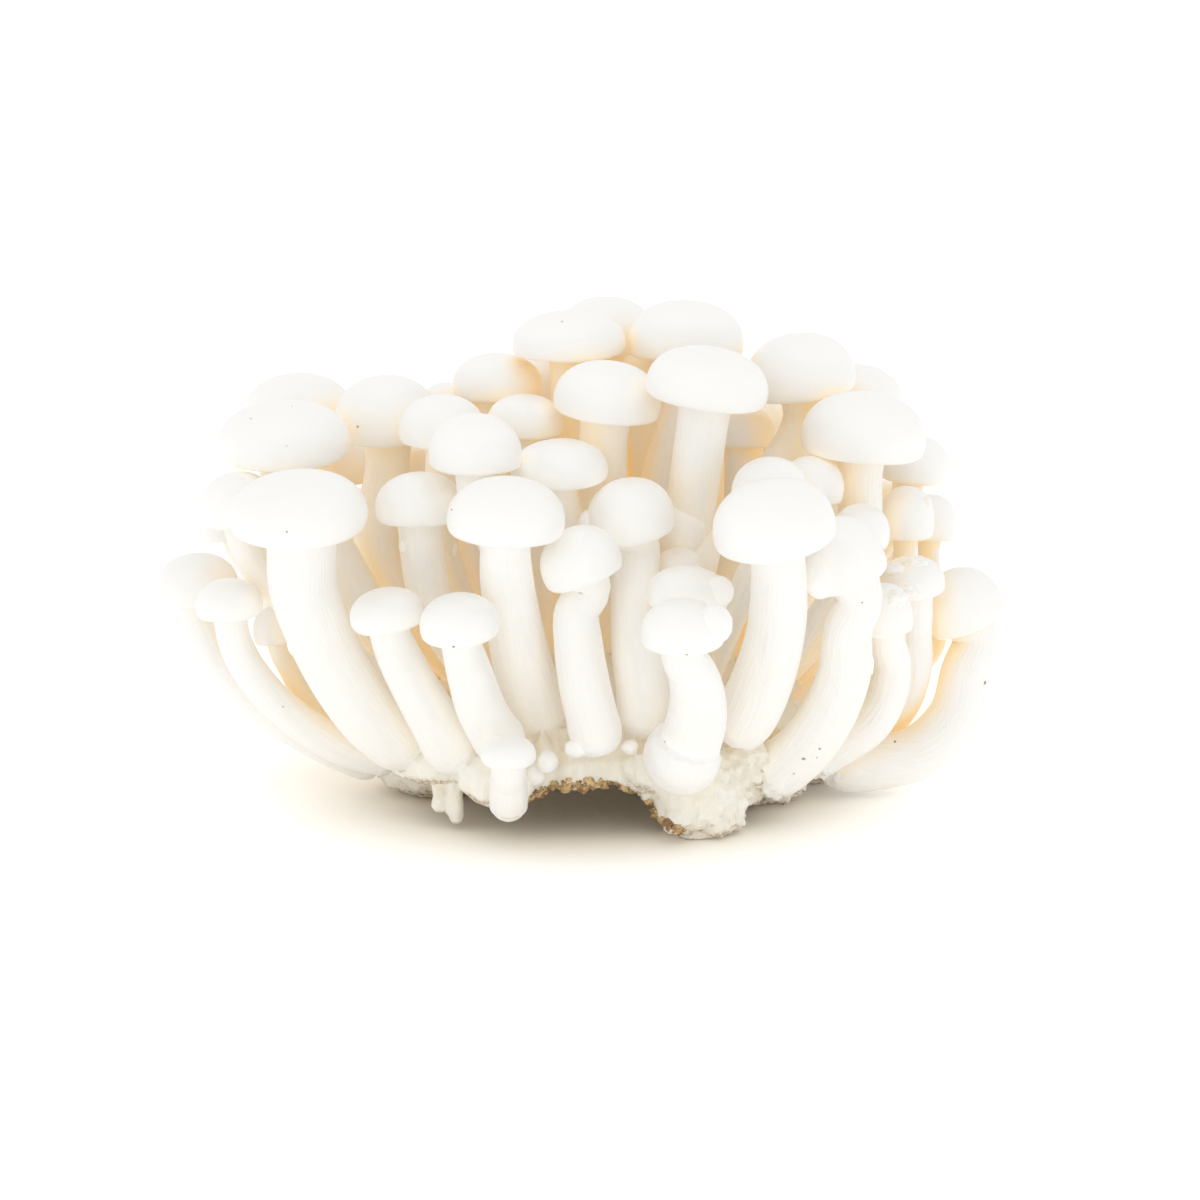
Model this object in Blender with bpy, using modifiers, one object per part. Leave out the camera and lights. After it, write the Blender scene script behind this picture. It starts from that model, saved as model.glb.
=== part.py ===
"""A bunch of white beech mushrooms: a crowd of small white fruit bodies on one shared butt.

Every mushroom is a turned body, stem and cap in one piece, bent along its own guide curve. The butt is
a low fluted mound with lumps and finger-like pins, and each stem stands in a socket of its own shape in it.
Sizes in the tables are millimetres. Blender's own units are metres.
"""

import math
from collections import namedtuple

import bmesh
import bpy
import numpy as np
from mathutils import Matrix, Vector

MM = 0.001

# The clear gap between any two neighbours, and the finer one that is aimed at while the stems settle.
GAP = 0.3
SETTLE_GAP = 0.8

# Places are read as seen from in front and a little above: across and rise lie on the upright sheet of
# sight through the bunch's middle, and depth says how far behind or in front of the middle the thing is.
SIGHT_TILT = math.radians(12.0)
SIGHT_DISTANCE = 500.0
SIGHT_AIM = (3.4, 30.2)
SIGHT = Vector((0.0, math.cos(SIGHT_TILT), -math.sin(SIGHT_TILT)))
SIGHT_UP = Vector((0.0, math.sin(SIGHT_TILT), math.cos(SIGHT_TILT)))
EYE = Vector((SIGHT_AIM[0], 0.0, 0.0)) + SIGHT_UP * SIGHT_AIM[1] - SIGHT * SIGHT_DISTANCE
MIDDLE_BEHIND = 5.0

# The butt: an oval mound, hollow underneath, whose rim stands clear of the floor between the lumps.
BUTT_MIDDLE = (5.0, 5.0)
BUTT_HALF = (35.0, 27.0)
BUTT_RIM_TOP = 11.5
BUTT_CROWN_TOP = 24.0
BUTT_FLUTES = 22
BUTT_FLUTE_DEPTH = 0.9
BUTT_GRAIN = 1.1
BUTT_FACES_KEPT = 0.028
STEM_SINK = 3.5

# The solids have flat sides, so they are made this much broader than the round things they stand for.
ROUNDED = 1.035

# Mushroom sizes as shares of the cap's width, where the table doesn't give them.
HIDDEN_STEM_SHARE = 0.40
HIDDEN_FOOT_SHARE = 0.34
HIDDEN_FOOT_PULL = 0.60
LEAST_STEM = 2.6
NECK_SHARE = 0.16
MOST_NECK = 0.64
MOST_FOOT_REACH = 0.80
LEAST_CAP_HEIGHT = 0.36
MOST_CAP_HEIGHT = 0.85
HALVINGS = 20

BROAD_CAP = 15.0
BROAD_SIDES = 12
SMALL_SIDES = 10
BACK_SIDES = 8
SOCKET_SIDES = 6
PIN_SIDES = 6

# The stem's belly (share of its length, share of its plain taper) and the cap's outline over the gills
# (share of half its width, share of its height).
BELLY = ((0.20, 1.02), (0.40, 1.04), (0.60, 1.03), (0.80, 1.01))
CAP_OUTLINE = ((0.86, 0.0), (1.0, 0.30), (0.88, 0.66), (0.52, 0.92), (0.0, 1.0))

# What settles the crowd: points that steer each stem, beads that stand for its thickness, and rounds.
STATIONS = 6
STEM_BEADS = 24
EDGE_BEAD = 0.28
CROWN_BEAD = 0.42
BEADS_A_ROW = 10
CAP_BEADS = 2 * BEADS_A_ROW + 1
SETTLE_ROUNDS = 280
LIST_EVERY = 20
LIST_REACH = 4.0
PUSH = 0.35
STIFF_CAP = 0.10
STIFF_STEM = 0.18
LOOSE_CAP = 0.7
LOOSE_STEM = 0.9
HOMING = 0.04
SMOOTHING = 0.06

Mushroom = namedtuple("Mushroom", "name across rise depth wide tall lean tip stem thick foot_depth")


def seen(name, across, rise, depth, wide, tall, lean, tip, stem, thick, foot_depth):
    """A mushroom whose stem shows: stem runs from under the cap to the foot, thick is (neck, foot)."""
    return Mushroom(name, across, rise, depth, wide, tall, lean, tip, stem, thick, foot_depth)


def half_hidden(name, across, rise, depth, wide, tall, lean=0.0, tip=0.0, stem=(), thick=None):
    """A mushroom whose foot is hidden: its stem runs down to the butt by a rule."""
    return Mushroom(name, across, rise, depth, wide, tall, lean, tip, stem, thick, None)


# Columns: name, across, rise and depth of the cap's middle, its width and height as seen, how far it
# leans to the right and tips to the front in degrees, the stem's points, its thickness, the foot's depth.
FRONT = (
    seen("low_1", -10.7, 6.9, -35.5, 8.6, 5.1, 0, 6,
         ((-10.6, 3.6), (-10.6, 0.0), (-10.7, -2.6)), (5.2, 5.8), -31.5),
    seen("front_1", -29.5, 28.6, -31, 11.7, 7.2, -8, 8,
         ((-28.4, 25.2), (-27.0, 20.3), (-23.5, 14.4), (-20.4, 9.0), (-17.8, 5.0)), (6.2, 8.6), -23),
    seen("front_2", -18.3, 27.2, -34, 12.3, 8.3, -5, 8,
         ((-17.8, 23.8), (-16.6, 18.7), (-14.6, 13.0), (-12.0, 8.6), (-10.4, 6.4)), (6.2, 8.6), -26),
    seen("front_3", -10.9, 43.7, -26, 17.7, 10.9, 2, 6,
         ((-11.2, 38.1), (-10.6, 31.0), (-9.2, 23.3), (-7.2, 15.7), (-5.4, 10.2)), (7.4, 9.6), -23),
    seen("front_4", -0.2, 36.7, -29, 12.6, 9.5, -20, 8,
         ((-0.5, 31.8), (0.2, 22.6), (1.4, 14.9), (3.0, 9.4), (3.6, 6.8)), (6.6, 8.6), -25),
    seen("front_5", 7.7, 43.9, -23, 13.8, 10.4, -12, 6,
         ((8.3, 36.4), (9.5, 27.2), (10.3, 16.4), (10.1, 9.8)), (6.8, 8.2), -20),
    seen("front_6", 16.1, 26.1, -37.5, 12.9, 8.6, 0, 6,
         ((17.3, 21.5), (18.4, 16.4), (18.2, 11.4), (16.6, 6.6), (14.4, 4.0)), (6.6, 10.6), -29),
    half_hidden("front_7", 16.9, 31.7, -30.0, 12.9, 7.5, 3, 4),
    half_hidden("front_8", 15.5, 36.0, -22.5, 7.2, 4.6, 0, 2),
    seen("front_9", 29.9, 42.4, -26, 18.4, 12.6, -8, 8,
         ((30.5, 36.4), (31.0, 30.2), (30.2, 23.3), (27.9, 16.4), (25.4, 11.6), (23.4, 9.4)),
         (8.2, 10.0), -19),
    seen("front_10", 40.2, 37.0, -22, 11.9, 11.3, -28, 6,
         ((41.0, 30.2), (41.6, 23.3), (40.4, 16.4), (37.0, 10.2), (32.6, 5.2), (28.0, 2.6)),
         (7.2, 9.4), -9),
)

LEFT = (
    seen("left_1", -43.0, 44.2, -25, 21.2, 12.3, -3, 8,
         ((-43.6, 37.9), (-41.8, 30.2), (-38.8, 23.0), (-34.4, 15.2), (-29.2, 9.4), (-25.0, 6.6)),
         (10.6, 9.4), -14),
    seen("left_2", -53.6, 30.2, -15, 10.1, 6.6, -3, 6,
         ((-52.8, 27.0), (-52.3, 22.9), (-50.0, 18.4), (-46.0, 14.2), (-40.6, 10.0), (-33.6, 6.6),
          (-28.0, 5.6)), (4.9, 5.8), -7),
    seen("left_3", -46.7, 26.2, -10, 6.8, 5.8, -8, 4,
         ((-46.0, 23.3), (-43.4, 17.2), (-39.4, 11.6), (-34.4, 8.2), (-27.6, 7.4)),
         (3.0, 3.6), -1),
    half_hidden("left_4", -42.7, 20.4, -6, 4.2, 3.8, 0, 0, ((-41.8, 18.0), (-38.4, 13.8)), (2.6, 2.8)),
    seen("left_5", -58.6, 33.3, -8, 12.9, 8.3, -4, 4,
         ((-57.6, 28.4), (-56.2, 23.2), (-52.6, 18.2), (-46.6, 13.2), (-38.6, 8.4), (-30.4, 5.0)),
         (6.2, 6.8), -5),
    half_hidden("left_6", -52.2, 45.6, -12, 11.7, 8.5, -6, 2,
                ((-49.6, 38.5), (-46.6, 31.0)), (5.2, 4.6)),
    half_hidden("left_7", -45.3, 55.2, -10, 20.7, 11.4, -2, 6),
    half_hidden("left_8", -43.0, 60.2, 5, 17.4, 10.0, -2, 0),
)

MIDDLE = (
    half_hidden("middle_1", -24.4, 45.6, -17, 13.5, 8.6, -2, 4,
                ((-22.8, 40.5), (-22.6, 32.0), (-21.6, 24.0)), (7.0, 6.4)),
    half_hidden("middle_2", -15.7, 53.9, -15, 14.1, 9.5, 2, 4),
    half_hidden("middle_3", -2.8, 50.8, -14, 15.0, 8.1, -2, 4, ((-0.6, 45.5), (-0.2, 40.0)), (5.4, 5.0)),
    half_hidden("middle_4", 29.4, 47.6, -16, 11.7, 8.6, -4, 2),
    half_hidden("middle_5", 36.1, 48.6, -15, 10.1, 7.5, 4, 2),
    half_hidden("middle_6", -29.5, 59.2, -3, 16.1, 11.2, -2, 2,
                ((-31.4, 53.0), (-31.4, 42.0), (-30.0, 32.0)), (7.0, 6.4)),
    half_hidden("middle_7", -20.7, 57.4, -8, 13.5, 8.6, 2, 2, ((-25.6, 51.0),), (5.2, 4.8)),
    half_hidden("middle_8", -8.1, 58.3, -6, 12.0, 7.1, 2, 2),
    half_hidden("middle_9", 4.8, 62.0, -7, 16.3, 10.1, 7, 4,
                ((3.8, 56.0), (3.8, 48.0), (4.0, 40.0)), (7.4, 6.4)),
    half_hidden("middle_10", 20.1, 63.9, -9, 18.4, 10.4, 8, 4,
                ((18.9, 58.0), (18.2, 50.0), (17.0, 43.0), (15.4, 36.0)), (7.8, 6.6)),
)

RIGHT = (
    half_hidden("right_1", 43.6, 41.4, -13, 8.9, 6.9, 6, 2),
    seen("right_2", 47.1, 28.6, -18, 8.6, 8.0, -6, 4,
         ((48.2, 23.6), (48.4, 19.0), (47.2, 14.4), (43.6, 9.6), (34.6, 5.2)), (6.4, 7.0), -5),
    seen("right_3", 51.0, 33.6, -11, 10.6, 6.8, -4, 4,
         ((50.6, 28.2), (51.6, 22.6), (50.8, 16.8), (47.4, 11.0), (40.0, 7.0)), (6.2, 6.2), -1),
    seen("right_4", 58.0, 30.2, -8, 12.6, 10.0, -26, 2,
         ((58.8, 25.0), (59.4, 20.4), (58.8, 14.6), (55.8, 9.2), (49.6, 5.2), (37.4, 3.8)),
         (7.0, 8.8), -5),
    half_hidden("right_5", 50.4, 43.4, -6, 8.9, 8.6, 2, 2, ((52.0, 38.0), (51.6, 32.0)), (3.6, 3.6)),
    half_hidden("right_6", 54.4, 42.8, 1, 7.8, 8.4, 6, 0,
                ((53.8, 37.0), (55.0, 30.0), (54.4, 22.0)), (3.4, 3.4)),
    half_hidden("right_7", 43.9, 56.3, -8, 19.3, 11.5, 4, 4,
                ((44.0, 50.5), (44.2, 42.0), (42.6, 34.0)), (6.8, 6.0)),
    half_hidden("right_8", 51.4, 51.8, 4, 12.4, 8.0, 8, 0),
    half_hidden("right_9", 43.0, 61.9, 15, 14.6, 8.8, 6, -2),
)

CROWN = (
    half_hidden("crown_1", -20.4, 60.6, 7, 8.0, 6.0, -2, 0),
    half_hidden("crown_2", -12.3, 64.3, 5, 13.8, 7.8, 0, 0),
    half_hidden("crown_3", -1.4, 70.5, 5, 17.2, 8.6, -2, 2, ((-1.8, 64.5), (-1.8, 58.0)), (6.0, 5.6)),
    half_hidden("crown_4", 4.4, 72.0, 17, 15.6, 9.4, 0, -2),
    half_hidden("crown_5", 16.6, 71.2, 9, 17.6, 10.0, 2, 0, ((13.8, 64.0), (12.6, 56.0)), (4.6, 4.6)),
    half_hidden("crown_6", 33.9, 65.7, 1, 17.2, 11.0, -8, 2,
                ((31.2, 59.4), (29.8, 53.0), (28.0, 46.0)), (6.8, 6.0)),
)

BACK = (
    half_hidden("back_1", -50.5, 45.0, 16, 14.0, 9.0, -10, -4, (), (6.4, 5.6)),
    half_hidden("back_2", -37.0, 53.0, 24, 18.0, 10.6, -6, -8, (), (7.6, 6.4)),
    half_hidden("back_3", -22.0, 56.0, 27, 15.0, 9.4, -4, -10, (), (6.8, 6.0)),
    half_hidden("back_4", -7.0, 63.0, 22, 16.0, 9.8, -2, -8, (), (7.0, 6.2)),
    half_hidden("back_5", 18.5, 64.5, 25, 17.0, 10.2, 4, -8, (), (7.4, 6.2)),
    half_hidden("back_6", 34.0, 58.0, 28, 17.0, 10.2, 6, -10, (), (7.4, 6.2)),
    half_hidden("back_7", -46.0, 38.0, 25, 14.0, 9.4, -12, -14, (), (7.0, 6.4)),
    half_hidden("back_8", -29.0, 43.0, 37, 18.0, 11.2, -8, -18, (), (8.4, 7.4)),
    half_hidden("back_9", -10.5, 50.0, 37, 19.0, 11.6, -4, -18, (), (8.6, 7.4)),
    half_hidden("back_10", 4.5, 41.0, 42, 13.0, 8.6, 0, -18, (), (7.0, 6.8)),
    half_hidden("back_11", 19.0, 49.0, 39, 19.5, 11.8, 6, -18, (), (8.8, 7.6)),
    half_hidden("back_12", 36.5, 42.0, 35, 16.0, 10.4, 12, -16, (), (7.6, 6.8)),
    half_hidden("back_13", 49.0, 44.0, 17, 14.5, 9.4, 14, -8, (), (6.6, 5.8)),
    half_hidden("back_14", 5.0, 59.0, 31, 13.0, 8.4, 0, -10, (), (6.2, 5.6)),
)

CROWD = FRONT + LEFT + MIDDLE + RIGHT + CROWN + BACK

# Lumps of the butt: middle (x, y, z) and half sizes. The first five reach below the floor line and are
# cut flat there, as the pads that the bunch rests on.
LUMPS = (
    ((-21.5, 5.0, 4.4), (11.0, 10.5, 5.8)),
    ((18.2, -20.0, 4.6), (7.4, 6.8, 6.2)),
    ((28.0, 0.0, 4.8), (8.5, 10.0, 6.0)),
    ((36.0, 10.0, 4.6), (8.0, 8.0, 5.6)),
    ((4.0, 27.0, 5.0), (15.0, 8.0, 6.0)),
    ((14.0, -19.5, 10.0), (8.0, 6.0, 5.0)),
    ((25.0, -12.0, 9.4), (8.0, 8.5, 6.4)),
    ((-11.0, -20.5, 8.6), (7.0, 7.2, 4.8)),
    ((-20.0, -10.0, 9.4), (9.5, 9.0, 5.0)),
)

LUMP_BUMP = 0.05

# Finger-like pins and small knobs on the butt's front: top and tip (across, rise, depth) and thickness.
PINS = (
    ((-18.6, 5.0, -20.0), (-18.7, -3.3, -23.5), 3.0),
    ((-21.6, 4.0, -19.0), (-21.2, -1.8, -22.6), 2.0),
    ((-5.4, 9.0, -24.0), (-4.5, 5.0, -30.0), 3.2),
    ((-7.2, 7.6, -24.0), (-6.6, 3.6, -29.6), 2.6),
    ((-2.4, 8.0, -24.0), (0.6, 7.2, -29.6), 2.6),
    ((8.2, 8.8, -24.0), (8.2, 7.2, -29.0), 2.4),
    ((15.0, -2.4, -27.0), (14.6, -4.4, -31.2), 3.8),
)

# The crust of growing medium under the butt's front edge: middle, half sizes.
CRUST_MIDDLE = (2.5, -15.0, 6.6)
CRUST_HALF = (13.5, 6.0, 2.6)
CRUST_BUMP = 0.09


def sight_point(across, rise, depth):
    """The point at this depth that is seen at (across, rise), and how much larger it is than it looks."""
    on_sheet = Vector((across, 0.0, 0.0)) + SIGHT_UP * rise
    reach = (depth + MIDDLE_BEHIND - EYE.y) / (on_sheet.y - EYE.y)
    return EYE + (on_sheet - EYE) * reach, reach


def butt_top(x, y):
    """The height of the mound's top above the floor at (x, y)."""
    away = ((x - BUTT_MIDDLE[0]) / BUTT_HALF[0]) ** 2 + ((y - BUTT_MIDDLE[1]) / BUTT_HALF[1]) ** 2
    return BUTT_RIM_TOP + (BUTT_CROWN_TOP - BUTT_RIM_TOP) * np.clip(1.0 - away, 0.0, 1.0)


def foot_on_mound(x, y):
    """The foot nearest to (x, y) that still stands on the mound, sunk a little in it."""
    over, back = x - BUTT_MIDDLE[0], y - BUTT_MIDDLE[1]
    reach = math.hypot(over / BUTT_HALF[0], back / BUTT_HALF[1])
    inward = min(1.0, MOST_FOOT_REACH / max(reach, MOST_FOOT_REACH))
    x, y = BUTT_MIDDLE[0] + over * inward, BUTT_MIDDLE[1] + back * inward
    return x, y, butt_top(x, y) - STEM_SINK


def cap_axis(lean, tip):
    """The direction from the stem to the cap's top."""
    towards = Vector((math.sin(math.radians(lean)), -math.sin(math.radians(tip)), 1.0))
    return towards.normalized()


def seen_edges(wide, tall, looked_down):
    """How far below and above its rim a cap's outline is seen to reach, when it is looked down on."""
    up, over = math.cos(looked_down), 0.5 * wide * math.sin(looked_down)
    low = min(height * tall * up - radius * over for radius, height in CAP_OUTLINE)
    high = max(height * tall * up + radius * over for radius, height in CAP_OUTLINE)
    return low, high


def cap_height(wide, seen_height, looked_down):
    """The cap's true height, for the height that it is seen to have."""
    least, most = LEAST_CAP_HEIGHT * wide, MOST_CAP_HEIGHT * wide
    for halving in range(HALVINGS):
        tall = 0.5 * (least + most)
        low, high = seen_edges(wide, tall, looked_down)
        least, most = (tall, most) if high - low < seen_height else (least, tall)
    return tall


class Body:
    """One mushroom's real sizes and the points that its stem follows, in millimetres."""

    def __init__(self, row):
        self.name = "mushroom_" + row.name
        self.axis = cap_axis(row.lean, row.tip)
        middle, larger = sight_point(row.across, row.rise, row.depth)
        larger *= ROUNDED
        self.wide = row.wide * larger
        looked_down = SIGHT_TILT + math.radians(row.tip)
        self.tall = cap_height(self.wide, row.tall * larger, looked_down)
        low, high = seen_edges(self.wide, self.tall, looked_down)
        to_middle = 0.5 * (low + high - self.tall * math.cos(looked_down))
        self.rim = middle - self.axis * (0.5 * self.tall) - SIGHT_UP * to_middle
        neck = self.rim - self.axis * (NECK_SHARE * self.wide)
        thick = row.thick or (HIDDEN_STEM_SHARE * row.wide, HIDDEN_FOOT_SHARE * row.wide)
        self.neck_radius, self.foot_radius = [max(LEAST_STEM, size) * 0.5 * larger for size in thick]
        self.foot_is_seen = row.foot_depth is not None
        points = [neck] + self.stem_points(row)
        if not self.foot_is_seen:
            points.append(self.hidden_foot(points[-1]))
        self.stations = even_stations([Vector(point) for point in reversed(points)])
        self.shown = row in FRONT + LEFT + RIGHT or bool(row.stem)
        self.cap_shown = row not in BACK

    @staticmethod
    def stem_points(row):
        """The stem's given points, at depths between the cap's and the foot's."""
        foot_depth = row.foot_depth
        if foot_depth is None:
            foot_depth = HIDDEN_FOOT_PULL * row.depth
        count = len(row.stem)
        steps = count if row.foot_depth is not None else count + 2
        return [
            sight_point(across, rise, row.depth + (foot_depth - row.depth) * (index + 1) / steps)[0]
            for index, (across, rise) in enumerate(row.stem)
        ]

    def hidden_foot(self, above):
        """A foot sunk a little in the mound, drawn in from below the cap to the bunch's middle."""
        x = BUTT_MIDDLE[0] + HIDDEN_FOOT_PULL * (0.5 * (self.rim.x + above.x) - BUTT_MIDDLE[0])
        y = BUTT_MIDDLE[1] + HIDDEN_FOOT_PULL * (self.rim.y - BUTT_MIDDLE[1])
        return Vector(foot_on_mound(x, y))


def even_stations(points):
    """STATIONS points spaced evenly along the broken line through these points."""
    runs = [0.0]
    for before, after in zip(points, points[1:]):
        runs.append(runs[-1] + (after - before).length)
    wanted = np.linspace(0.0, runs[-1], STATIONS)
    return np.array([np.interp(wanted, runs, [point[axis] for point in points]) for axis in range(3)]).T


def stem_curve(stations, axis, shares):
    """Points of the smooth curve through the stations, which ends along the cap's axis."""
    last = len(stations) - 1
    slopes = np.empty_like(stations)
    slopes[1:-1] = 0.5 * (stations[2:] - stations[:-2])
    slopes[0] = stations[1] - stations[0]
    slopes[-1] = axis * np.linalg.norm(stations[-1] - stations[-2])
    place = np.clip(shares, 0.0, 1.0) * last
    start = np.minimum(place.astype(int), last - 1)
    t = (place - start)[:, None]
    return (
        (2 * t**3 - 3 * t**2 + 1) * stations[start]
        + (t**3 - 2 * t**2 + t) * slopes[start]
        + (3 * t**2 - 2 * t**3) * stations[start + 1]
        + (t**3 - t**2) * slopes[start + 1]
    )


def cap_beads(body):
    """Offsets from the rim's middle, and radii, of the beads that stand for a cap."""
    axis = body.axis
    side = axis.cross(Vector((0.0, 1.0, 0.0))).normalized()
    front = axis.cross(side)
    half, tall = 0.5 * body.wide, body.tall
    offsets, radii = [axis * 0.5 * tall], [0.5 * tall]
    edge_bead, crown_bead = EDGE_BEAD * tall, CROWN_BEAD * tall
    rows = ((edge_bead, edge_bead, half - edge_bead), (crown_bead, 0.55 * tall, 0.5 * half))
    for radius, height, ring in rows:
        for index in range(BEADS_A_ROW):
            turn = 2.0 * math.pi * index / BEADS_A_ROW
            offsets.append(axis * height + (side * math.cos(turn) + front * math.sin(turn)) * ring)
            radii.append(radius)
    return np.array(offsets), np.array(radii)


def settle(bodies):
    """Moves stems and caps apart until they stand clear of each other.

    What shows from the front moves along the line of sight, which keeps its place in that view. The rest
    moves freely, and hidden feet stay on the mound.
    """
    count = len(bodies)
    shares = np.linspace(0.0, 1.0, STEM_BEADS)
    hats = np.maximum(0.0, 1.0 - np.abs(shares[:, None] * (STATIONS - 1) - np.arange(STATIONS)[None, :]))
    to_neck = np.zeros((CAP_BEADS, STATIONS))
    to_neck[:, -1] = 1.0
    weights = np.concatenate([hats, to_neck])
    stations = np.array([body.stations for body in bodies])
    axes = np.array([body.axis for body in bodies])
    caps = [cap_beads(body) for body in bodies]
    radii = np.array([
        np.concatenate([np.linspace(body.foot_radius, body.neck_radius, STEM_BEADS), cap[1]])
        for body, cap in zip(bodies, caps)
    ]).ravel()
    owner = np.repeat(np.arange(count), STEM_BEADS + CAP_BEADS)
    sight = stations - np.array(EYE)
    sight /= np.linalg.norm(sight, axis=2, keepdims=True)
    ease = np.empty((count, STATIONS, 1))
    for index, body in enumerate(bodies):
        ease[index, :] = STIFF_STEM if body.shown else LOOSE_STEM
        ease[index, -1] = STIFF_CAP if body.cap_shown else LOOSE_CAP
        if body.foot_is_seen:
            ease[index, 0] = STIFF_STEM
    home = stations.copy()
    pairs = None
    for turn in range(SETTLE_ROUNDS):
        beads = []
        for index, body in enumerate(bodies):
            rim = stations[index, -1] + axes[index] * NECK_SHARE * body.wide
            beads.append(stem_curve(stations[index], axes[index], shares))
            beads.append(rim + caps[index][0])
        beads = np.concatenate(beads)
        if turn % LIST_EVERY == 0:
            away = np.linalg.norm(beads[:, None] - beads[None], axis=2)
            near = away < radii[:, None] + radii[None] + LIST_REACH
            near &= owner[:, None] < owner[None]
            pairs = np.argwhere(near)
        first, second = pairs[:, 0], pairs[:, 1]
        apart = beads[first] - beads[second]
        length = np.linalg.norm(apart, axis=1) + 1e-9
        short = np.maximum(0.0, radii[first] + radii[second] + SETTLE_GAP - length)
        push = apart / length[:, None] * short[:, None] * PUSH
        moves = np.zeros_like(beads)
        np.add.at(moves, first, push)
        np.add.at(moves, second, -push)
        low = np.maximum(0.0, radii + 2.0 * GAP - beads[:, 2])
        moves[:, 2] += low
        moves = moves.reshape(count, -1, 3)
        felt = (np.abs(moves).sum(axis=2) > 0.0).astype(float)
        step = np.einsum("bs,cbx->csx", weights, moves)
        step /= np.maximum(1.0, np.einsum("bs,cb->cs", weights, felt))[..., None]
        along = (step * sight).sum(axis=2, keepdims=True) * sight
        stations += along + (step - along) * ease
        drift = home - stations
        drift -= (drift * sight).sum(axis=2, keepdims=True) * sight
        stations += drift * HOMING * (ease < 0.5)
        bow = 0.5 * (stations[:, 2:] + stations[:, :-2]) - stations[:, 1:-1]
        bow -= 0.5 * (home[:, 2:] + home[:, :-2]) - home[:, 1:-1]
        across = bow - (bow * sight[:, 1:-1]).sum(axis=2, keepdims=True) * sight[:, 1:-1]
        bow -= (1.0 - ease[:, 1:-1]) * across
        stations[:, 1:-1] += bow * SMOOTHING
        for index, body in enumerate(bodies):
            if not body.foot_is_seen:
                stations[index, 0] = foot_on_mound(*stations[index, 0, :2])
    for index, body in enumerate(bodies):
        body.stations = stations[index]
        body.rim = Vector(stations[index, -1]) + body.axis * NECK_SHARE * body.wide


def new_collection(name):
    collection = bpy.data.collections.new(name)
    bpy.context.scene.collection.children.link(collection)
    return collection


def finish(name, colour, roughness):
    """A plain Principled finish."""
    material = bpy.data.materials.new(name)
    material.use_nodes = True
    shader = material.node_tree.nodes["Principled BSDF"]
    shader.inputs["Base Color"].default_value = (*colour, 1.0)
    shader.inputs["Roughness"].default_value = roughness
    shader.inputs["Metallic"].default_value = 0.0
    return material


def add_mesh(name, shape, collection, material=None):
    """A mesh object from a bmesh that is in millimetres."""
    shape.transform(Matrix.Scale(MM, 4))
    mesh = bpy.data.meshes.new(name)
    shape.to_mesh(mesh)
    shape.free()
    if material:
        mesh.materials.append(material)
    mesh.shade_smooth()
    thing = bpy.data.objects.new(name, mesh)
    collection.objects.link(thing)
    return thing


def hide(thing):
    thing.hide_render = True
    thing.display_type = "WIRE"


def spun(profile, sides):
    """A closed turned shape: the profile runs from pole to pole, as (radius, height)."""
    shape = bmesh.new()
    ring = [shape.verts.new((radius, 0.0, height)) for radius, height in profile]
    for lower, upper in zip(ring, ring[1:]):
        shape.edges.new((lower, upper))
    bmesh.ops.spin(
        shape, geom=shape.verts[:] + shape.edges[:], cent=(0, 0, 0), axis=(0, 0, 1),
        angle=2.0 * math.pi, steps=sides, use_merge=True,
    )
    bmesh.ops.remove_doubles(shape, verts=shape.verts[:], dist=1e-4)
    bmesh.ops.recalc_face_normals(shape, faces=shape.faces[:])
    return shape


def mushroom_profile(body, length):
    """Radius and height from the foot's pole to the cap's, and the two rings that the gills run between."""
    half, tall = 0.5 * body.wide, body.tall
    foot, neck = body.foot_radius, min(body.neck_radius, MOST_NECK * half)
    profile = [(0.0, 0.0)]
    if body.foot_is_seen:
        profile += [(0.72 * foot, 0.28 * foot), (foot, foot)]
    else:
        profile += [(0.94 * foot, 0.2 * foot)]
    for share, belly in BELLY if body.foot_is_seen else BELLY[2:3]:
        profile.append(((foot + (neck - foot) * share) * belly, length * share))
    profile.append((neck, length - 0.30 * tall))
    gill_inner = (neck * 1.18, length + 0.16 * tall)
    gill_outer = (0.80 * half, length + 0.20 * tall)
    profile += [gill_inner, gill_outer]
    profile += [(radius * half, length + height * tall) for radius, height in CAP_OUTLINE]
    return profile, gill_inner, gill_outer


def socket_profile(body, length):
    """The room that one mushroom takes up, with the gap to its neighbours, as a plain turned shape."""
    flat = math.cos(math.pi / SOCKET_SIDES)
    foot, neck = (body.foot_radius * 1.03 + GAP) / flat, (body.neck_radius * 1.03 + GAP) / flat
    half = (0.5 * body.wide + GAP) / flat
    low, high = length - GAP, length + body.tall + GAP
    shares = [share for share, belly in (BELLY[:2] if body.foot_is_seen else BELLY[2:3])]
    stem = [((foot + (neck - foot) * share) * 1.02, length * share) for share in shares]
    end = [(foot, -GAP)]
    if body.foot_is_seen:
        end = [(0.80 * foot, 0.14 * foot), (foot, 0.9 * foot)]
    return [(0.0, -GAP), *end, *stem, (neck, low), (half, low),
            (half, length + 0.5 * body.tall), (0.6 * half, high), (0.0, high)]


def cut_gills(shape, gill_inner, gill_outer, depth):
    """Doubles the vertices of the two gill rings, and drops every second one into a blade's edge."""
    rings = []
    for radius, height in (gill_inner, gill_outer):
        rings.append([
            edge for edge in shape.edges
            if all(abs(v.co.z - height) < 1e-3 and abs(math.hypot(v.co.x, v.co.y) - radius) < 1e-3
                   for v in edge.verts)
        ])
    for ring, share in zip(rings, (0.6, 1.0)):
        made = bmesh.ops.subdivide_edges(shape, edges=ring, cuts=1)["geom_inner"]
        for vertex in made:
            if isinstance(vertex, bmesh.types.BMVert):
                vertex.co.z -= depth * share
                vertex.co.xy *= 1.02


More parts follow.
